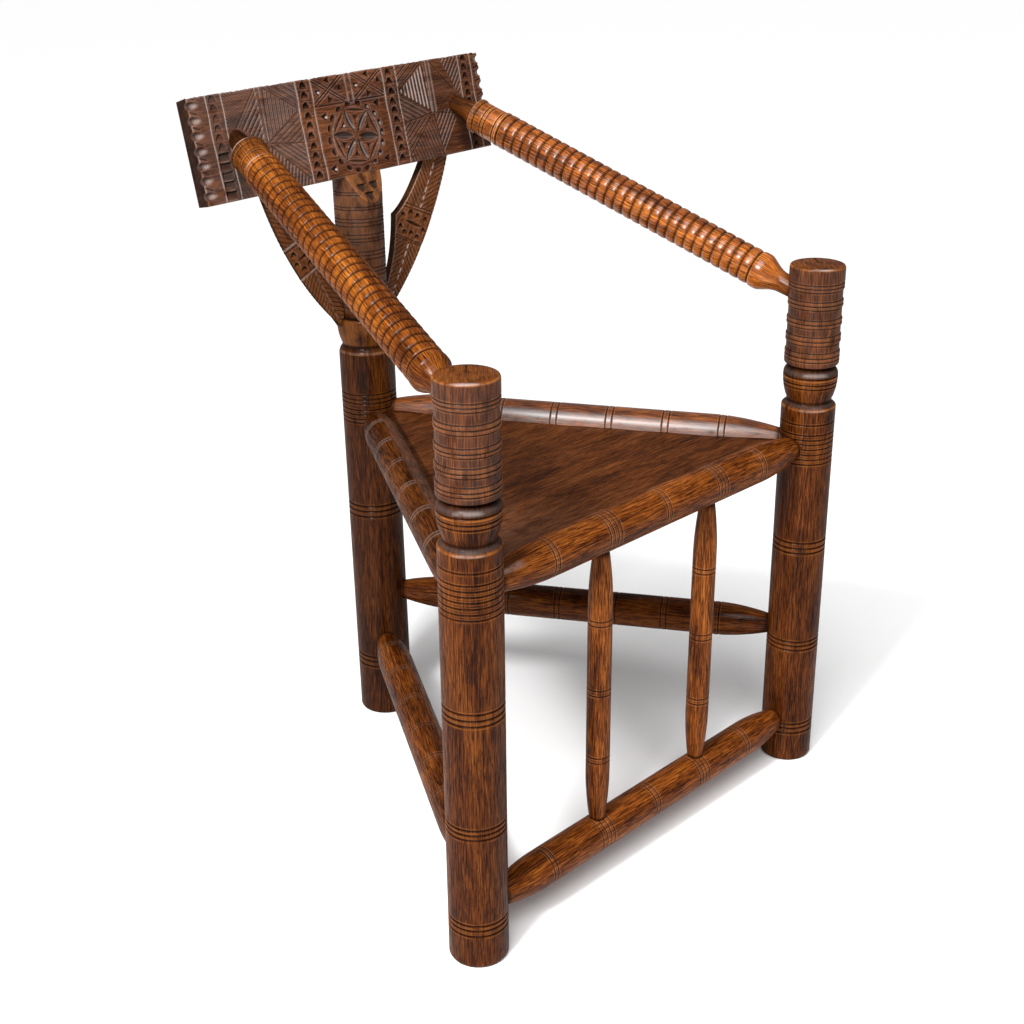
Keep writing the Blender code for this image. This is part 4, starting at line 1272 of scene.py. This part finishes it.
def makeCrest():
    cell, height = crest["grid"], crest["height"]
    us = np.linspace(crest["left"], crest["right"], round((crest["right"] - crest["left"]) / cell))
    u, v = np.meshgrid(us, np.linspace(0, height, round(height / cell)))
    cut, pale, dark = carveCrest(u, v)
    cavity, ridge = reliefTones(cut, cell)
    ridge = ridge * unit(1 - 1.6 * softened(dark, 2))  # no bright lips round the dark chips
    edge = np.minimum(np.minimum(v, height - v), np.minimum(u - crest["left"], crest["right"] - u))
    ridge = most(ridge, crest["edgeRidge"] * unit(1.3 - edge / 1.6))
    eased = crest["ease"] * unit(1 - edge / crest["ease"]) ** 2
    uneven = 0.16 * np.sin(u / 31.0 + v / 17.0) + 0.12 * np.sin(u / 13.0 - v / 23.0 + 2.0) + 0.28
    depth = cut + eased + uneven
    # the top edge is nicked where cuts run over it
    nick = 1.3 * cut[-1] + 0.6 * np.sin(us / 1.3) * np.sin(us / 5.7) + 0.4 * np.sin(us / 9.1 + 1.0)
    atTop = rising(v, height - crest["topReach"], crest["topReach"]) ** 2
    backV = v - crest["backDrop"] * atTop
    v = v - np.clip(nick, 0, crest["topNick"]) * atTop
    behind = np.full_like(u, crest["thickness"])
    turn, origin = np.array(crestPlace.to_3x3()), np.array(crestPlace.translation)
    face, back = (np.stack(parts, -1) * mm @ turn.T + origin for parts in ((u, depth, v), (u, behind, backV)))
    grains = [np.stack((v, deep, u), -1) * mm + np.array(crest["grainFrom"]) for deep in (depth, behind)]
    tones = {"cavity": most(cavity, dark), "ridge": ridge, "pale": pale}
    mesh = boardMesh("crestRail", face, back, tones, grains, crest["endDark"], "crestOak")
    settle("crestRail", mesh, "crest_rail")


makeCrest()
print("crest carved")

# braces: distance from the middle and height, metres, as for the solids but for the inner side
# and foot of the right one; carving in millimetres
brace = {
    "faceY": plan["backY"] + 0.0051, "thickness": 0.012, "hewn": 0.0065, "foot": 0.595,
    "innerFoot": (0.0328, 0.606), "innerPull": (0.0616, 0.6486), "cusp": (0.0641, 0.7169),
    "upperPull": (0.0917, 0.7315), "innerTop": (0.1268, 0.800),
    "outerTop": (0.1655, 0.800), "outerPull": (0.1300, 0.6755), "outerFoot": (0.0510, 0.595),
    "rightPull": (0.0480, 0.6500), "rightFoot": 0.5835, "rightTip": (0.0398, 0.5835),
    "cupSide": ((0.0388, 0.5835), (0.0386, 0.590), (0.0374, 0.5935), (0.0345, 0.5952)),
    "inCrest": 0.004, "cell": 0.85, "width": 54, "ease": 1.1, "skim": 0.15,
    "panelLines": (
        ((80, 731), (134, 708)), ((78, 727), (133, 704)), ((60, 692), (112, 667)), ((62, 688), (113, 663.5)),
    ),
    "panelCut": (1.3, 1.2), "rightPanelPale": (1.2, 0.75),
    "leaf": ((80, 707.5), (109, 692.5)), "leafCut": (3.6, 2.4),
    "chips": (
        (76, 715.5), (90, 716.5), (102, 709.5), (115.5, 702), (70.5, 701), (77, 692), (89, 688),
        (99, 681), (111, 688),
    ),
    "chipSize": (9.4, 7.0, 2.8),
    "spines": (((136, 779), (108, 721)), ((85, 677), (50, 606))), "spineLand": 2.2, "spineCut": (1.5, 0.9),
    "spinePale": (1.5, 1.2), "rightSpine": 0.15, "rightShift": (4.5, 9.0),
    "hatchBox": ((20, 560), (190, 560), (190, 810), (20, 810)), "hatchCut": (5.4, 1.2, 0.85),
    "steep": (0.38, -0.92), "gentle": (0.95, 0.30), "panelSlope": 0.43, "panelTop": 723.5, "panelFoot": 672.0,
    "innerPale": 0.24, "rightShade": 0.22, "rightEdgeWax": 0.9, "edgeWax": 0.84,
    "grainWay": (0.55, 0.83), "grainFrom": (5.0, 2.0, 3.0),
}


def sweepCurve(start, pull, end):
    start, pull, end = np.array((start, pull, end))
    share = np.linspace(0, 1, 40)[:, None]
    return (1 - share) ** 2 * start + 2 * share * (1 - share) * pull + share ** 2 * end


def carveBrace(x, z, onRight):
    # on the right brace the pattern sits lower, its spine is dark and its panel lines are pale
    if onRight:
        x, z = x + brace["rightShift"][0], z + brace["rightShift"][1]
    outside = []
    for (topX, topZ), (footX, footZ) in brace["spines"]:
        outside.append((x - footX) * (topZ - footZ) - (z - footZ) * (topX - footX) > 0)
    ways = brace["steep"], brace["gentle"]
    steep, gentle = (hatchCut(x, z, brace["hatchBox"], way, *brace["hatchCut"]) for way in ways)
    level = z + brace["panelSlope"] * (x - 100)
    cut = np.where(level > brace["panelTop"], np.where(outside[0], gentle, steep), 0.0)
    cut = np.where(level < brace["panelFoot"], np.where(outside[1], steep, gentle), cut)
    cut = most(cut, linesCut(x, z, brace["panelLines"], *brace["panelCut"]))
    pale = np.zeros_like(x)
    dash = unit(0.7 + 1.2 * np.sin(z * 0.62) + 0.5 * np.sin(z * 0.23))
    for spine in brace["spines"]:
        onLand = lineCut(x, z, *spine, brace["spineLand"], 1.0) > 0
        cut = np.where(onLand, lineCut(x, z, *spine, *brace["spineCut"]), cut)
        share = brace["rightSpine"] if onRight else 1
        pale = most(pale, share * lineCut(x, z, *spine, *brace["spinePale"]) * dash)
    if onRight:
        pale = most(pale, linesCut(x, z, brace["panelLines"][::3], *brace["rightPanelPale"]))
    cut = most(cut, leafCut(x, z, *brace["leaf"], *brace["leafCut"]))
    for chip in brace["chips"]:
        cut = most(cut, thumbCut(x, z, chip, *brace["chipSize"]))
    return cut, unit(pale)


def makeBrace(name, node, side):
    # the right brace is wider inside and its foot runs down beside the cup of the back post
    onRight = side < 0
    foot = brace["rightFoot"] if onRight else brace["foot"]
    inner = np.concatenate((
        brace["cupSide"] if onRight else [(brace["innerFoot"][0], foot)],
        sweepCurve(brace["innerFoot"], brace["rightPull" if onRight else "innerPull"], brace["cusp"]),
        sweepCurve(brace["cusp"], brace["upperPull"], brace["innerTop"])[1:],
    ))
    outer = sweepCurve(brace["outerFoot"], brace["outerPull"], brace["outerTop"])
    if onRight:
        outer = np.concatenate(([brace["rightTip"]], outer))
    cell = brace["cell"]
    top = crest["foot"] + brace["inCrest"]
    zs = np.linspace(foot, top, round((top - foot) / mm / cell))
    zs = np.unique(np.append(zs, brace["cusp"][1]))
    shares = np.linspace(0, 1, round(brace["width"] / cell))
    inX, outX = (np.interp(zs, edge[:, 1], edge[:, 0])[:, None] for edge in (inner, outer))
    x = inX + (outX - inX) * shares
    z = np.repeat(zs[:, None], len(shares), 1)
    cut, pale = carveBrace(x / mm, z / mm, onRight)
    cavity, ridge = reliefTones(cut, cell)
    worn = unit(1.2 - (x - inX) / mm / 0.8)
    # the right brace is painted darker all over, standing in for the arm's shadow, and darker along its outer
    # edge
    if onRight:
        outerWax = brace["rightEdgeWax"] * unit(1.4 - (outX - x) / mm / 2.6)
        cavity = most(cavity, most(brace["rightShade"], outerWax))
    eased = brace["ease"] * unit(1 - np.minimum(x - inX, outX - x) / mm / brace["ease"]) ** 2
    depth = (cut + eased + brace["skim"]) * mm
    behind = np.full_like(x, brace["thickness"])
    face = np.stack((side * x, brace["faceY"] + depth, z), -1)
    back = np.stack((side * (x - brace["hewn"] * shares), brace["faceY"] + behind, z), -1)
    lean, rise = brace["grainWay"]
    grainFrom = np.array(brace["grainFrom"]) * (1, 1, side)
    across, along = rise * x - lean * z, lean * x + rise * z
    grains = [np.stack((across, deep, along), -1) + grainFrom for deep in (depth, behind)]
    tones = {"cavity": cavity, "ridge": most(ridge, worn), "pale": most(pale, brace["innerPale"] * worn)}
    mesh = boardMesh(name, face, back, tones, grains, brace["edgeWax"], "braceOak")
    settle(name, mesh, node)


makeBrace("rightBrace", "right_brace", -1)
makeBrace("leftBrace", "left_brace", 1)
print("braces carved")

# seat board: a triangle let into the rails, its grain along the front rail; metres
seat = {
    "top": 0.466, "thickness": 0.016, "inset": 0.0165, "backGap": 0.030, "rows": 110, "columns": 130,
    # litReach and worn set the painted light near the right front corner
    "litReach": 0.21, "worn": 0.95, "rimWax": 0.7, "edgeWax": 0.4, "grainFrom": (1.0, 4.0, 9.0),
}


def makeSeat():
    frontEdge = plan["frontY"] + seat["inset"]
    lean = plan["backLean"] * (seat["top"] - plan["plumbHeight"])
    depth = plan["backY"] + lean - plan["frontY"]
    slant = math.hypot(plan["frontHalf"], depth)
    ys = np.linspace(frontEdge, plan["backY"] - seat["backGap"], seat["rows"])
    halves = plan["frontHalf"] * (1 - (ys - plan["frontY"]) / depth) - seat["inset"] * slant / depth
    x = halves[:, None] * np.linspace(-1, 1, seat["columns"])
    y = np.repeat(ys[:, None], seat["columns"], 1)
    hollow = 0.5 + 0.35 * np.sin(x * 9 + 1) * np.cos(y * 11) + 0.18 * np.sin(y * 90 + 3 * np.sin(x * 6))
    levels = seat["top"] - hollow * mm, np.full_like(x, seat["top"] - seat["thickness"])
    face, back = (np.stack((x, y, z), -1) for z in levels)
    grains = [np.stack((y, z, x), -1) + np.array(seat["grainFrom"]) for z in levels]
    margin = np.minimum((halves[:, None] - np.abs(x)) * depth / slant, y - frontEdge) / mm
    # painted light towards the right front corner, where the near post casts shade
    fromCorner = np.hypot(x + plan["frontHalf"], y - plan["frontY"])
    tones = {
        "cavity": seat["rimWax"] * unit(1.3 - (margin - 6.0) / 2.2),
        "ridge": seat["worn"] * unit(1.2 - fromCorner / seat["litReach"]),
        "pale": np.zeros_like(x),
    }
    mesh = boardMesh("seatPanel", face, back, tones, grains, seat["edgeWax"], "seatOak")
    settle("seatPanel", mesh, "seat_panel")


makeSeat()
print("seat laid")

# floor, light and camera
floorLook = {"half": 30, "Base Color": (0.95, 0.95, 0.95, 1), "Roughness": 0.7, "Specular IOR Level": 0.2}


def makeFloor():
    half = floorLook["half"]
    mesh = bpy.data.meshes.new("floor")
    corners = [(-half, -half, 0), (half, -half, 0), (half, half, 0), (-half, half, 0)]
    mesh.from_pydata(corners, [], [(0, 1, 2, 3)])
    floor = bpy.data.objects.new("floor", mesh)
    scene.collection.objects.link(floor)
    paint = bpy.data.materials.new("paleFloor")
    paint.use_nodes = True
    for label in ("Base Color", "Roughness", "Specular IOR Level"):
        paint.node_tree.nodes["Principled BSDF"].inputs[label].default_value = floorLook[label]
    mesh.materials.append(paint)


lights = {
    "daylight": {
        "kind": "SUN", "place": (-1.5, -1.0, 2.6), "aim": (0, 0, 0), "size": math.radians(36), "power": 2.8,
    },
    "lamp": {"kind": "AREA", "place": (-1.75, -0.60, 2.00), "aim": (0, 0, 0.45), "size": 0.38, "power": 66},
}
sky = {"Color": (1, 1, 1, 1), "Strength": 0.36}


def makeLights():
    for name, light in lights.items():
        lamp = bpy.data.lights.new(name, light["kind"])
        lamp.energy = light["power"]
        if light["kind"] == "SUN":
            lamp.angle = light["size"]
        else:
            lamp.size = light["size"]
        holder = bpy.data.objects.new(name, lamp)
        scene.collection.objects.link(holder)
        holder.location = light["place"]
        toAim = Vector(light["aim"]) - Vector(light["place"])
        holder.rotation_euler = toAim.to_track_quat("-Z", "Y").to_euler()
    world = bpy.data.worlds.new("studio")
    world.use_nodes = True
    for label, value in sky.items():
        world.node_tree.nodes["Background"].inputs[label].default_value = value
    scene.world = world
    scene.view_settings.view_transform = "Standard"


camera = {
    "place": (-1.2735, -1.2857, 1.1465), "yaw": 45.19, "pitch": 23.01, "roll": -0.629,
    "lens": 53.55, "sensor": 36,
}


def makeCamera():
    yaw, pitch, roll = (math.radians(camera[key]) for key in ("yaw", "pitch", "roll"))
    forward = Vector((math.sin(yaw) * math.cos(pitch), math.cos(yaw) * math.cos(pitch), -math.sin(pitch)))
    level = Vector((math.cos(yaw), -math.sin(yaw), 0))
    upward = level.cross(forward)
    right = math.cos(roll) * level + math.sin(roll) * upward
    up = -math.sin(roll) * level + math.cos(roll) * upward
    data = bpy.data.cameras.new("photoCamera")
    data.sensor_width = camera["sensor"]
    data.lens = camera["lens"]
    holder = bpy.data.objects.new("photoCamera", data)
    scene.collection.objects.link(holder)
    turn = Matrix((right, up, -forward)).transposed().to_4x4()
    holder.matrix_world = Matrix.Translation(camera["place"]) @ turn
    scene.camera = holder


makeFloor()
makeLights()
makeCamera()
